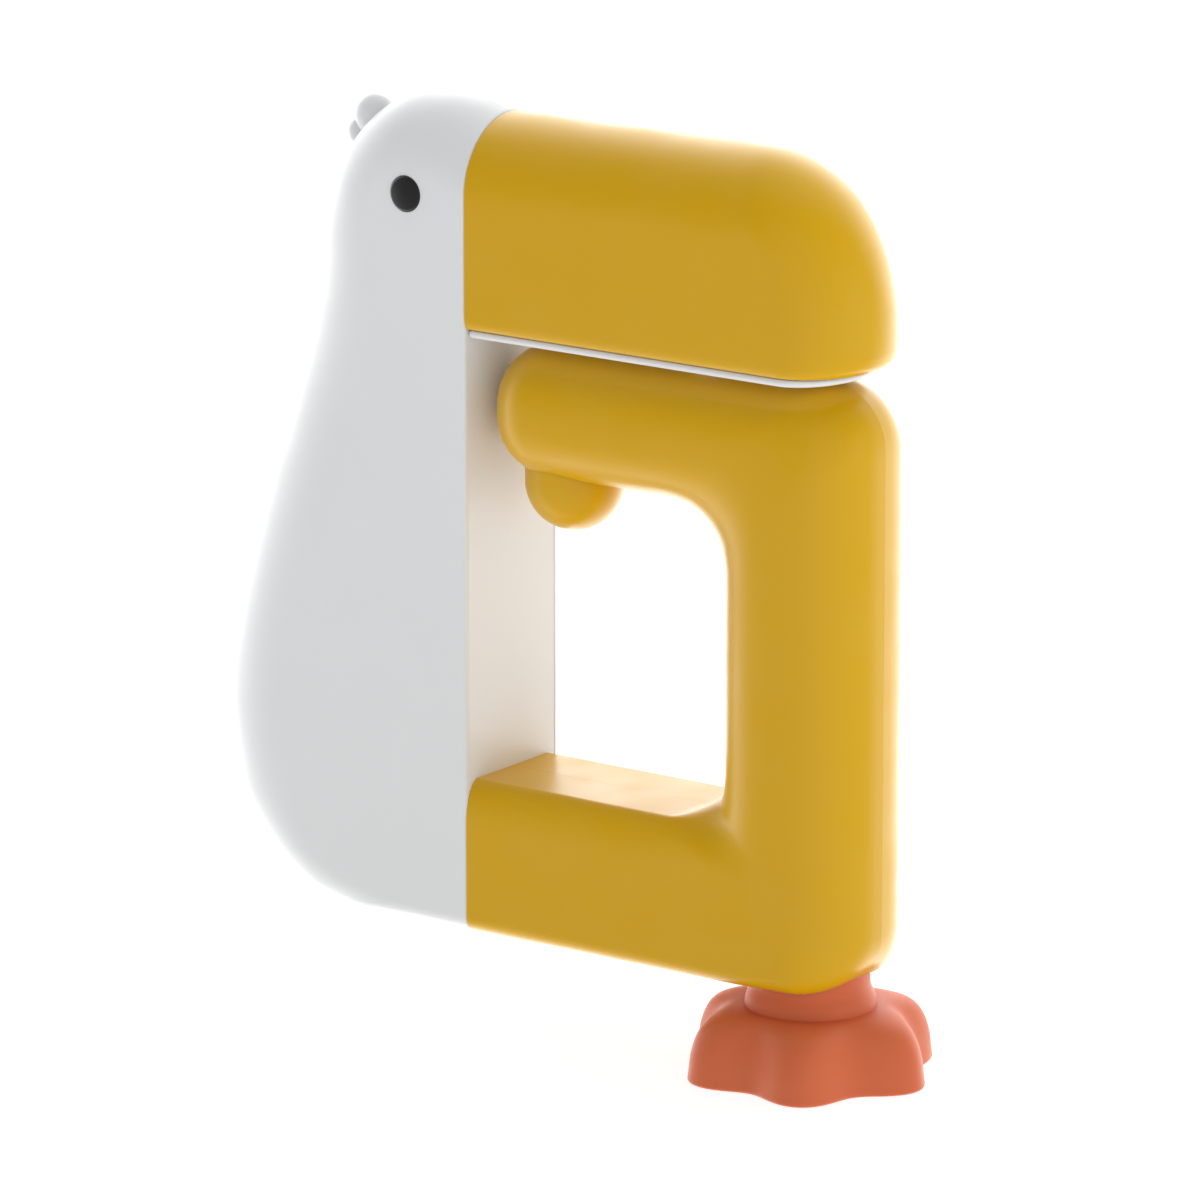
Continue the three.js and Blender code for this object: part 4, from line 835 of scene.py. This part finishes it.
@dataclass
class Beak:
    """The yellow barrel, the white plate that closes it below, and the jet in that plate."""

    finishes: dict[str, bpy.types.Material]
    back: float = 0.06
    bottom: float = 149.5
    top: float = 199.7
    length: float = 108.0
    side_top: float = SIDE_TOP
    curve_x: float = 73.0  # the top line curves down from here
    curve_z: float = 157.7  # and meets the upright front here
    side_edge: tuple[float, float] = (1.4, 3.5)  # how far the lower edge draws in, and its height
    nose_edge: tuple[float, float] = (5.0, 5.0)
    wall: float = 2.0
    plate_bottom: float = 147.5
    plate_edge: float = 1.0
    plate_inset: float = 1.0
    plate_nose: float = 12.5
    pads: tuple[tuple[float, float], ...] = ((62, -4.6), (44, 4.6))
    pad_radius: float = 4.0
    pad_bottom: float = 143.0
    nozzle_x: float = 97.4
    nozzle_z: float = 147.6
    nozzle_drop: float = math.radians(30)
    nozzle_radius: float = 1.6
    nozzle_length: float = 12.0

    def half_width(self, z: float) -> float:
        """Half the beak's width at a height."""
        rise = max(0.0, z - self.side_top) / (self.top - self.side_top)
        return HALF * math.sqrt(max(0.0, 1 - rise * rise))

    def length_at(self, z: float) -> float:
        """How far the beak reaches at a height."""
        rise = max(0.0, z - self.curve_z) / (self.top - self.curve_z)
        return self.curve_x + (self.length - self.curve_x) * math.sqrt(max(0.0, 1 - rise * rise))

    def edge(self, z: float, size: tuple[float, float]) -> float:
        """How far the rounded lower edge has drawn in at a height."""
        depth, height = size
        return depth * drawn_in(min(1.0, max(0.0, 1 - (z - self.bottom) / height)))

    def slice_at(self, z: float) -> list[Vector]:
        """The level outline at a height, from the middle of the back wall and round to it again."""
        side = self.half_width(z)
        half = side - self.edge(z, self.side_edge)
        nose = side - self.edge(z, self.nose_edge)
        start = self.length_at(z) - side
        straight = [self.back + (start - self.back) * i / 6 for i in range(6)]
        right = [Vector((x, -half, z)) for x in straight]
        front = [
            Vector((start + nose * math.cos(a), half * math.sin(a), z))
            for a in (math.pi * (i / 40 - 0.5) for i in range(41))
        ]
        left = [Vector((x, half, z)) for x in reversed(straight)]
        middle = Vector((self.back, 0, z))
        return [middle, *right, *front, *left, middle]

    def shell(self) -> bpy.types.Object:
        """The barrel: open below, closed behind."""
        edge_height = self.nose_edge[1]
        heights = [self.bottom + edge_height * drawn_in(i / 8) for i in range(9)]
        heights += [lerp(heights[-1], self.side_top, i / 8) for i in range(1, 8)]
        rise = self.top - self.side_top
        heights += [self.side_top + rise * math.sin(math.pi / 2 * i / 22) for i in range(23)]
        shell = skin("beak_barrel", [self.slice_at(z) for z in heights])
        modify(shell, "SOLIDIFY", thickness=self.wall * MM, offset=-1, use_even_offset=True)
        return shell

    def nozzle_point(self, back: float) -> Vector:
        """A point on the jet's axis, a distance back from its mouth."""
        return Vector((
            self.nozzle_x - back * math.cos(self.nozzle_drop),
            0,
            self.nozzle_z + back * math.sin(self.nozzle_drop),
        ))

    def plate(self, arm: bpy.types.Object) -> bpy.types.Object:
        """The plate under the barrel, with the pads that stand on the arm.

        Args:
            arm: The loop's outside, which the pads are cut to fit.
        """
        half = HALF - self.plate_inset
        nose = self.plate_nose + 1 - self.plate_inset
        start = self.length - HALF
        rim = [
            (start + nose * math.cos(a), half * math.sin(a))
            for a in (math.pi * (i / 48 - 0.5) for i in range(49))
        ]
        rim = [(self.back + 0.2, -half), *rim, (self.back + 0.2, half)]
        plate = new_piece(
            "beak_plate", bpy.ops.mesh.primitive_circle_add, vertices=len(rim), fill_type="NGON"
        )
        for vertex, (x, y) in zip(plate.data.vertices, rim):
            vertex.co = spot(x, y, self.plate_bottom)
        rise = (self.bottom - FIT - self.plate_bottom) * MM
        edit(
            plate,
            lambda: bpy.ops.mesh.select_all(action="SELECT"),
            lambda: bpy.ops.mesh.extrude_region_move(
                TRANSFORM_OT_translate={"value": (0, 0, rise)}
            ),
        )
        merge(plate)
        low = ORIGIN.z + (self.plate_bottom + 0.01) * MM
        bevel_edges(plate, lambda p: p.z < low, self.plate_edge, 5)
        pads = [
            bar("pad", self.pad_radius, Vector((x, y, self.pad_bottom)),
                Vector((x, y, self.plate_bottom + 0.6)), 40)
            for x, y in self.pads
        ]
        for pad in pads:
            weld(plate, pad)
        cut(
            plate,
            arm,
            bar("jet hole", self.nozzle_radius + FIT, self.nozzle_point(-8), self.nozzle_point(12)),
        )
        return plate

    def nozzle(self) -> bpy.types.Object:
        """The turned jet, pointing forward and down."""
        radius, length = self.nozzle_radius, self.nozzle_length
        axis = (self.nozzle_point(1) - self.nozzle_point(0)).normalized()
        profile = [
            (0, 3), (0.6, 3), (0.6, 0.15), (0.75, 0), (radius - 0.2, 0), (radius, 0.2),
            (radius, length - 2), (3.2, length - 2), (3.2, length), (1.3, length),
            (1.3, length + 5), (0, length + 5),
        ]
        return turned("jet", profile, 48, self.nozzle_point(0), axis)

    def build(self, arm: bpy.types.Object) -> None:
        """Makes the beak's pieces and dresses them."""
        shell = self.shell()
        smooth(shell)
        place_piece(shell, "toy", "yellow_abs", self.finishes["yellow_abs"], "beak_shell")
        plate = self.plate(arm)
        smooth(plate)
        place_piece(plate, "toy", "white_abs", self.finishes["white_abs"], "beak_underplate")
        nozzle = self.nozzle()
        smooth(nozzle)
        place_piece(nozzle, "toy", "grey_acetal", self.finishes["grey_acetal"], "nozzle")


# ---------------------------------------------------------------- loop


@dataclass
class Station:
    """A cross-section of the loop: its inner and outer middle points and how boxy each side is."""

    inner: Vector
    outer: Vector
    inner_boxy: float = 0.0
    outer_boxy: float = 0.0
    scale: float = 1.0


@dataclass
class Loop:
    """The yellow finger guard in two halves: bar, leg and arm."""

    finishes: dict[str, bpy.types.Material]
    back: float = 0.06
    bar_top: float = 38.0
    leg_inner: float = 68.4
    leg_outer: float = 108.6
    arm_bottom: float = 113.2
    arm_top: float = 146.4
    arm_tip: float = 0.8
    arm_end: float = 17.0
    inner_low: float = 11.5
    inner_high: float = 16.2
    outer_low: float = 14.0
    outer_high: float = 15.6
    straight: float = 0.25  # share of a bend's outer route on each straight
    wall: float = 1.7
    bend_steps: int = 28
    edge_steps: int = 14
    neck_radius: float = 14.2
    trigger_x: float = 19.0
    trigger_z: float = 112.0
    trigger_radius: float = 12.0
    flange_low: float = 8.8  # above the ball's centre
    flange_high: float = 10.2
    flange_reach: float = 0.8
    stem_radius: float = 2.6
    stem_top: float = 16.0
    trigger_clearance: float = 0.4
    trigger_travel: float = 3.0
    spring_radius: float = 5.0
    spring_wire: float = 0.4
    spring_turns: int = 4
    screws: tuple[tuple[float, float], ...] = ((30, 28), (59, 8), (97, 133), (50, 131))

    @property
    def leg_x(self) -> float:
        """The leg's axis."""
        return (self.leg_inner + self.leg_outer) / 2

    def corner(self, start: Vector, corner: Vector, end: Vector, radius: float,
               straight: float) -> Callable[[float], Vector]:
        """A route round a right-angled corner, as a function of a share from 0 to 1."""
        to_start = (start - corner).normalized()
        to_end = (end - corner).normalized()
        centre = corner + (to_start + to_end) * radius

        def on_arc(share: float) -> Vector:
            angle = share * math.pi / 2
            back = to_end * (radius * math.cos(angle))
            return centre - back - to_start * (radius * math.sin(angle))

        def route(share: float) -> Vector:
            if share < straight:
                return start.lerp(on_arc(0), share / straight)
            if share > 1 - straight:
                return on_arc(1).lerp(end, 1 - (1 - share) / straight)
            return on_arc((share - straight) / (1 - 2 * straight))

        return route

    def stations(self) -> list[Station]:
        """Stations from the body along the bar, up the leg and back along the arm."""
        low_x, low_z = self.leg_inner - self.inner_low, self.bar_top + self.inner_low
        high_x, high_z = self.leg_inner - self.inner_high, self.arm_bottom - self.inner_high
        low_in = self.corner(
            at(low_x, self.bar_top), at(self.leg_inner, self.bar_top),
            at(self.leg_inner, low_z), self.inner_low, 0,
        )
        low_out = self.corner(
            at(low_x, 0), at(self.leg_outer, 0), at(self.leg_outer, low_z), self.outer_low,
            self.straight,
        )
        high_in = self.corner(
            at(self.leg_inner, high_z), at(self.leg_inner, self.arm_bottom),
            at(high_x, self.arm_bottom), self.inner_high, 0,
        )
        high_out = self.corner(
            at(self.leg_outer, high_z), at(self.leg_outer, self.arm_top),
            at(high_x, self.arm_top), self.outer_high, self.straight,
        )
        shares = [i / self.bend_steps for i in range(self.bend_steps + 1)]
        found = [
            Station(at(x, self.bar_top), at(x, 0), 1, 1)
            for x in (lerp(self.back, low_x, i / 5) for i in range(5))
        ]
        found += [
            Station(low_in(s), low_out(s), 1 - smoothstep(s, 0, 0.8), 1 - smoothstep(s, 0.1, 0.75))
            for s in shares
        ]
        found += [
            Station(at(self.leg_inner, z), at(self.leg_outer, z))
            for z in (lerp(low_z, high_z, i / 5) for i in range(1, 5))
        ]
        found += [Station(high_in(s), high_out(s)) for s in shares]
        found += [self.arm_station(lerp(high_x, self.arm_end, i / 6)) for i in range(1, 7)]
        reach = self.arm_end - self.arm_tip
        for i in range(1, 15):
            angle = math.pi / 2 * i / 14
            found.append(self.arm_station(self.arm_end - reach * math.sin(angle), math.cos(angle)))
        return found

    def arm_station(self, x: float, scale: float = 1.0) -> Station:
        """A station on the straight part of the arm or its round end."""
        return Station(at(x, self.arm_bottom), at(x, self.arm_top), scale=scale)

    def half_ring(self, station: Station, side: int, grow: float = 0) -> list[Vector]:
        """Half of a section, from the outer middle line round to the inner one."""
        centre = (station.inner + station.outer) / 2
        reach = (station.outer - station.inner) / 2
        height = reach.length + grow
        across = reach.normalized()
        half = HALF + grow
        outer = (lerp(half, 4, station.outer_boxy), lerp(height, 4, station.outer_boxy))
        inner = (lerp(half, 4.7, station.inner_boxy), lerp(height, 11, station.inner_boxy))
        row = [(0.0, height)]
        parts = ((outer, station.outer_boxy, 1), (inner, station.inner_boxy, -1))
        for (wide, tall), boxy, up in parts:
            power = 2 / lerp(2.35, 2, boxy)
            steps = range(self.edge_steps + 1)
            for i in steps if up > 0 else reversed(steps):
                angle = math.pi / 2 * i / self.edge_steps
                row.append((
                    half - wide + wide * abs(math.sin(angle)) ** power,
                    up * (height - tall + tall * abs(math.cos(angle)) ** power),
                ))
        row.append((0.0, -height))
        points = []
        for y, along in row:
            place = centre + across * (along * station.scale)
            points.append(Vector((place.x, side * max(SEAM, y * station.scale), place.z)))
        return points

    def half(self, side: Side) -> bpy.types.Object:
        """One half of the loop, before its holes."""
        rows = [self.half_ring(station, side.value) for station in self.stations()]
        middle = Vector((self.back, side.value * SEAM, self.bar_top / 2))
        rows = [[middle] * len(rows[0]), *rows]
        shell = skin(f"guard_half_{side.name.lower()}", rows)
        modify(shell, "SOLIDIFY", thickness=self.wall * MM, offset=-1, use_even_offset=False)
        return shell

    def solid(self, grow: float) -> bpy.types.Object:
        """The whole outside of the loop as a closed cutter, moved out by a distance."""
        rows = []
        for station in self.stations():
            left = self.half_ring(station, 1, grow)
            right = self.half_ring(station, -1, grow)
            rows.append([*left, *reversed(right), left[0]])
        middle = Vector((self.back, 0, self.bar_top / 2))
        return skin("loop outside", [[middle] * len(rows[0]), *rows])

    def shell(self, side: Side) -> bpy.types.Object:
        """One half of the loop with its holes and screw seats."""
        piece = self.half(side)
        cuts = [
            bar("trigger hole", self.trigger_radius + self.trigger_clearance,
                Vector((self.trigger_x, 0, 100)), Vector((self.trigger_x, 0, 122)), 64),
            bar("neck hole", self.neck_radius + 0.4, Vector((self.leg_x, 0, -5)),
                Vector((self.leg_x, 0, 6)), 64),
            bar("hose hole", HOSE_HOLE, Vector((-1, 0, 17)), Vector((5, 0, 17)), 32),
        ]
        if side is Side.LEFT:
            for x, z in self.screws:
                weld(piece, screw_post(x, z, self.solid(-0.8)))
                cuts += screw_hole(x, z)
        cut(piece, *cuts)
        return piece

    def trigger(self) -> bpy.types.Object:
        """The ball that the finger presses, with its flange and stem inside the arm."""
        radius = self.trigger_radius
        profile = [
            (radius * math.sin(a), -radius * math.cos(a))
            for a in (math.pi / 2 * i / 24 for i in range(25))
        ]
        flange, low, high = radius + self.flange_reach, self.flange_low, self.flange_high
        stem, top = self.stem_radius, self.stem_top
        profile += [(radius, low), (flange, low), (flange, high)]
        profile += [(stem, high), (stem, top), (0, top)]
        return turned("trigger_ball", profile, 96, at(self.trigger_x, self.trigger_z))

    def spring(self) -> bpy.types.Object:
        """The wire coil above the trigger, which shortens as the trigger is pressed."""
        low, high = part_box("trigger_spring")
        wire, coil = self.spring_wire, self.spring_radius
        bottom = (low.z - ORIGIN.z) / MM + wire
        rise = (high.z - low.z) / MM - 2 * wire
        steps = 28 * self.spring_turns
        rows = []
        for i in range(steps + 1):
            angle = 2 * math.pi * self.spring_turns * i / steps
            outwards = Vector((math.cos(angle), math.sin(angle), 0))
            middle = Vector((self.trigger_x, 0, bottom + rise * i / steps)) + outwards * coil
            ring = [
                middle + outwards * (wire * math.cos(a)) + Vector((0, 0, wire * math.sin(a)))
                for a in (2 * math.pi * (k % 10) / 10 for k in range(11))
            ]
            rows.append(ring)
            if i in (0, steps):
                rows.insert(len(rows) - (i == 0), [middle] * 11)
        return skin("trigger_coil", rows)

    def build(self) -> None:
        """Makes the loop's pieces and dresses them."""
        yellow = self.finishes["yellow_abs"]
        for side in Side:
            shell = self.shell(side)
            smooth(shell)
            place_piece(shell, "toy", "yellow_abs", yellow, f"loop_shell_{side.name.lower()}")
        trigger = self.trigger()
        smooth(trigger)
        place_piece(trigger, "trigger", "yellow_abs", yellow, "trigger_button")
        spring = self.spring()
        smooth(spring)
        steel = self.finishes["zinc_steel"]
        place_piece(spring, "toy", "zinc_steel", steel, "trigger_spring")
        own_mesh(spring)
        for i, (x, z) in enumerate(self.screws):
            screw = side_screw(f"guard_screw_{i + 1}", x, z)
            place_piece(screw, "toy", "zinc_steel", steel, f"loop_screw_{i + 1}")


# ---------------------------------------------------------------- foot


@dataclass
class Foot:
    """The coral screw cap of the tank, shaped as a lobed foot."""

    finishes: dict[str, bpy.types.Material]
    axis_x: float
    lobe: float = 31.5
    valley: float = 25.4
    lobes: int = 6
    turn: float = math.radians(-60.4)
    # Height, share of the mean radius, and how far the lobes show
    profile: tuple[tuple[float, float, float], ...] = (
        (-22.1, 1, 1), (-19.5, 0.99, 0.99), (-16, 0.975, 0.97), (-12, 0.93, 0.93),
        (-9.2, 0.87, 0.83), (-7.4, 0.79, 0.62), (-6.4, 0.68, 0.32), (-6.25, 0.6, 0.1),
    )
    around: int = 240

    def ring(self, height: float, share: float, lobing: float) -> list[Vector]:
        """One level ring of the foot."""
        mean = (self.lobe + self.valley) / 2
        swing = (self.lobe - self.valley) / 2
        row = []
        for i in range(self.around + 1):
            angle = 2 * math.pi * (i % self.around) / self.around
            radius = share * mean + lobing * swing * math.cos(self.lobes * (angle - self.turn))
            row.append(Vector((
                self.axis_x + radius * math.cos(angle), radius * math.sin(angle), height,
            )))
        return row

    def cap(self) -> bpy.types.Object:
        """The foot in one piece, with the recess in its sole and the socket for the tank's neck."""
        mean = (self.lobe + self.valley) / 2
        recess, socket, neck = 8.3 / mean, 11.5 / mean, 14.2 / mean
        bottom = -23.0
        levels = [(bottom + 2, 0, 0), (bottom + 2, recess, 0), (bottom, recess, 0)]
        for i in range(7):
            angle = math.pi / 2 * i / 6
            levels.append((bottom + 0.9 * (1 - math.cos(angle)),
                           0.965 + 0.035 * math.sin(angle), 0.95 + 0.05 * math.sin(angle)))
        lofted = curve_through([Vector(level) for level in self.profile], 5)
        levels += [(p.x, p.y, p.z) for p in lofted[1:]]
        levels += [
            (-6.3, 0.56, 0), (-6.0, 0.557, 0), (-4.6, 0.55, 0), (-3.4, 0.535, 0), (-2.8, 0.522, 0),
            (-1.8, 0.507, 0), (-0.8, neck, 0), (4.2, neck, 0), (4.4, neck - 0.008, 0),
            (4.4, socket, 0), (-14, socket, 0), (-14, 0, 0),
        ]
        return skin("webbed_foot", [self.ring(*level) for level in levels])

    def build(self) -> None:
        """Makes the foot and dresses it."""
        cap = self.cap()
        smooth(cap, math.radians(40))
        place_piece(cap, "foot", "coral_tpe", self.finishes["coral_tpe"], "foot_cap")


# ---------------------------------------------------------------- what keeps its frame mesh

NODES_BY_SLOT = {
    "zinc_steel": (
        "beak_screw_1", "beak_screw_2", "bar_screw_1", "bar_screw_2", "plate_screw_1",
        "plate_screw_2", "pump_screw_1", "pump_screw_2", "trigger_spring", "idler_pin",
        "motor_can", "motor_shaft", "battery_contact_plus", "battery_contact_minus",
    ),
    "white_abs": ("port_flap",),
    "clear_plastic": ("water_tank",),
    "black_rubber": ("cap_seal", "suction_hose", "delivery_hose", "inlet_valve"),
    "lead_pvc": ("switch_lead", "motor_lead", "battery_lead"),
    "switch_plastic": ("trigger_switch", "charge_socket"),
    "circuit_green": ("circuit_board",),
    "cell_wrap": ("battery_cell",),
}


def dress_kept_nodes(finishes: dict[str, bpy.types.Material]) -> None:
    """Gives every frame node that is still shown its finish.

    Args:
        finishes: The materials by slot.
    """
    by_node = {node: slot for slot, nodes in NODES_BY_SLOT.items() for node in nodes}
    for name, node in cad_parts.items():
        node.data.materials.clear()
        node.data.materials.append(finishes[by_node.get(name, "grey_acetal")])


# ---------------------------------------------------------------- studio


@dataclass
class Studio:
    """A bright, even tent: white all round the object and a little greyer behind the camera."""

    azimuth: float = math.radians(36)
    elevation: float = math.radians(14.3)
    distance: float = 2.04
    lens: float = 255.0
    framing: tuple[float, float, float] = (7.83 * MM, 0.0, -6.6 * MM)  # from the middle of the box
    soft_behind: float = 1.2
    soft_front: float = 0.1
    gloss_behind: float = 3.0
    gloss_front: float = 0.04
    soft_fade: tuple[float, float] = (-0.7, 0.75)
    gloss_fade: tuple[float, float] = (-0.8, 0.15)
    top_light: tuple[Any, ...] = ((0.1, 0.3, 1.6), 1.4, 8.0)  # place, size, watts
    right_light: tuple[Any, ...] = ((1.5, 0.1, 0.25), 1.0, 5.0)
    front_light: tuple[float, ...] = (2.6, 16.0)
    front_light_distance: float = 2.0

    def target(self) -> Vector:
        """The point in the middle of the view."""
        low, high = CAD_BOX
        return (Vector(low) + Vector(high)) / 2 + Vector(self.framing)

    def towards_camera(self) -> Vector:
        """The direction from the object to the camera."""
        level = math.cos(self.elevation)
        return Vector((
            math.sin(self.azimuth) * level,
            -math.cos(self.azimuth) * level,
            math.sin(self.elevation),
        ))

    def camera(self) -> None:
        """Adds the camera."""
        place = self.target() + self.towards_camera() * self.distance
        turn = self.towards_camera().to_track_quat("Z", "Y").to_euler()
        bpy.ops.object.camera_add(location=place, rotation=turn)
        camera = bpy.context.object
        camera.data.lens = self.lens
        camera.data.sensor_width = 36
        bpy.context.scene.camera = camera

    def tent(self) -> None:
        """Makes the surroundings white, with a softer grey behind the camera."""
        world = bpy.data.worlds.new("tent")
        world.use_nodes = True
        world.cycles.sampling_method = "NONE"  # so that gloss sees only its own surroundings
        bpy.context.scene.world = world
        tree = world.node_tree
        tree.nodes.clear()
        way = add_node(tree, "ShaderNodeTexCoord").outputs["Generated"]
        facing = add_node(
            tree, "ShaderNodeVectorMath", {1: tuple(self.towards_camera())}, {0: way},
            operation="DOT_PRODUCT",
        )

        def surroundings(behind: float, front: float,
                         fade: tuple[float, float]) -> bpy.types.NodeSocket:
            """White surroundings that fade from one strength behind the object to another."""
            level = add_node(
                tree, "ShaderNodeMapRange",
                {"From Min": fade[0], "From Max": fade[1], "To Min": behind, "To Max": front},
                {"Value": facing.outputs["Value"]}, interpolation_type="SMOOTHSTEP",
            )
            return add_node(tree, "ShaderNodeBackground", {"Color": (1, 1, 1, 1)},
                            {"Strength": level.outputs["Result"]}).outputs["Background"]

        soft = surroundings(self.soft_behind, self.soft_front, self.soft_fade)
        gloss = surroundings(self.gloss_behind, self.gloss_front, self.gloss_fade)
        ray = add_node(tree, "ShaderNodeLightPath")
        lit = add_node(
            tree, "ShaderNodeMixShader", {},
            {0: ray.outputs["Is Glossy Ray"], 1: soft, 2: gloss},
        )
        seen = add_node(tree, "ShaderNodeBackground", {"Color": (1, 1, 1, 1), "Strength": 1.0})
        both = add_node(
            tree, "ShaderNodeMixShader", {},
            {0: ray.outputs["Is Camera Ray"], 1: lit.outputs["Shader"],
             2: seen.outputs["Background"]},
        )
        add_node(tree, "ShaderNodeOutputWorld", {}, {"Surface": both.outputs["Shader"]})

    def light(self, name: str, place: tuple[float, float, float], size: float,
              power: float) -> None:
        """Adds a soft square light that faces the object."""
        middle = self.target()
        position = middle + Vector(place)
        turn = (position - middle).to_track_quat("Z", "Y").to_euler()
        bpy.ops.object.light_add(type="AREA", location=position, rotation=turn)
        lamp = bpy.context.object
        lamp.name = name
        lamp.data.size = size
        lamp.data.energy = power
        lamp.visible_glossy = False

    def floor(self) -> None:
        """Adds the pale floor that the object stands on."""
        floor = new_piece(
            "floor", bpy.ops.mesh.primitive_plane_add, size=30, location=(0, 0, -0.02 * MM)
        )
        material, tree = new_material("white paper floor")
        place = add_node(tree, "ShaderNodeTexCoord").outputs["Object"]
        fibre = add_node(tree, "ShaderNodeTexNoise", {"Scale": 1 / (3 * MM)}, {"Vector": place})
        bump = add_node(tree, "ShaderNodeBump", {"Strength": 0.2, "Distance": 0.02 * MM},
                        {"Height": fibre.outputs["Fac"]})
        shader = add_node(
            tree, "ShaderNodeBsdfPrincipled",
            {"Base Color": linear("#909090"), "Roughness": 0.9, "Emission Color": (1, 1, 1, 1),
             "Emission Strength": 0.85},
            {"Normal": bump.outputs["Normal"]},
        )
        add_node(tree, "ShaderNodeOutputMaterial", {}, {"Surface": shader.outputs["BSDF"]})
        floor.data.materials.append(material)
        floor.visible_glossy = False

    def build(self) -> None:
        """Sets up the camera, the lights and the floor."""
        self.camera()
        self.tent()
        front = tuple(self.towards_camera() * self.front_light_distance)
        self.light("top light", *self.top_light)
        self.light("right light", *self.right_light)
        self.light("front light", front, *self.front_light)
        self.floor()
        bpy.context.scene.view_settings.view_transform = "Standard"


def main() -> None:
    """Builds the sub-assemblies in order."""
    finishes = {slot: finish.build() for slot, finish in SLOT_FINISH.items()}
    dress_kept_nodes(finishes)
    Body(finishes).build()
    loop = Loop(finishes)
    Beak(finishes).build(loop.solid(0.05))
    loop.build()
    Foot(finishes, loop.leg_x).build()
    Studio().build()


if __name__ == "__main__":
    logging.basicConfig(level=logging.INFO)
    main()
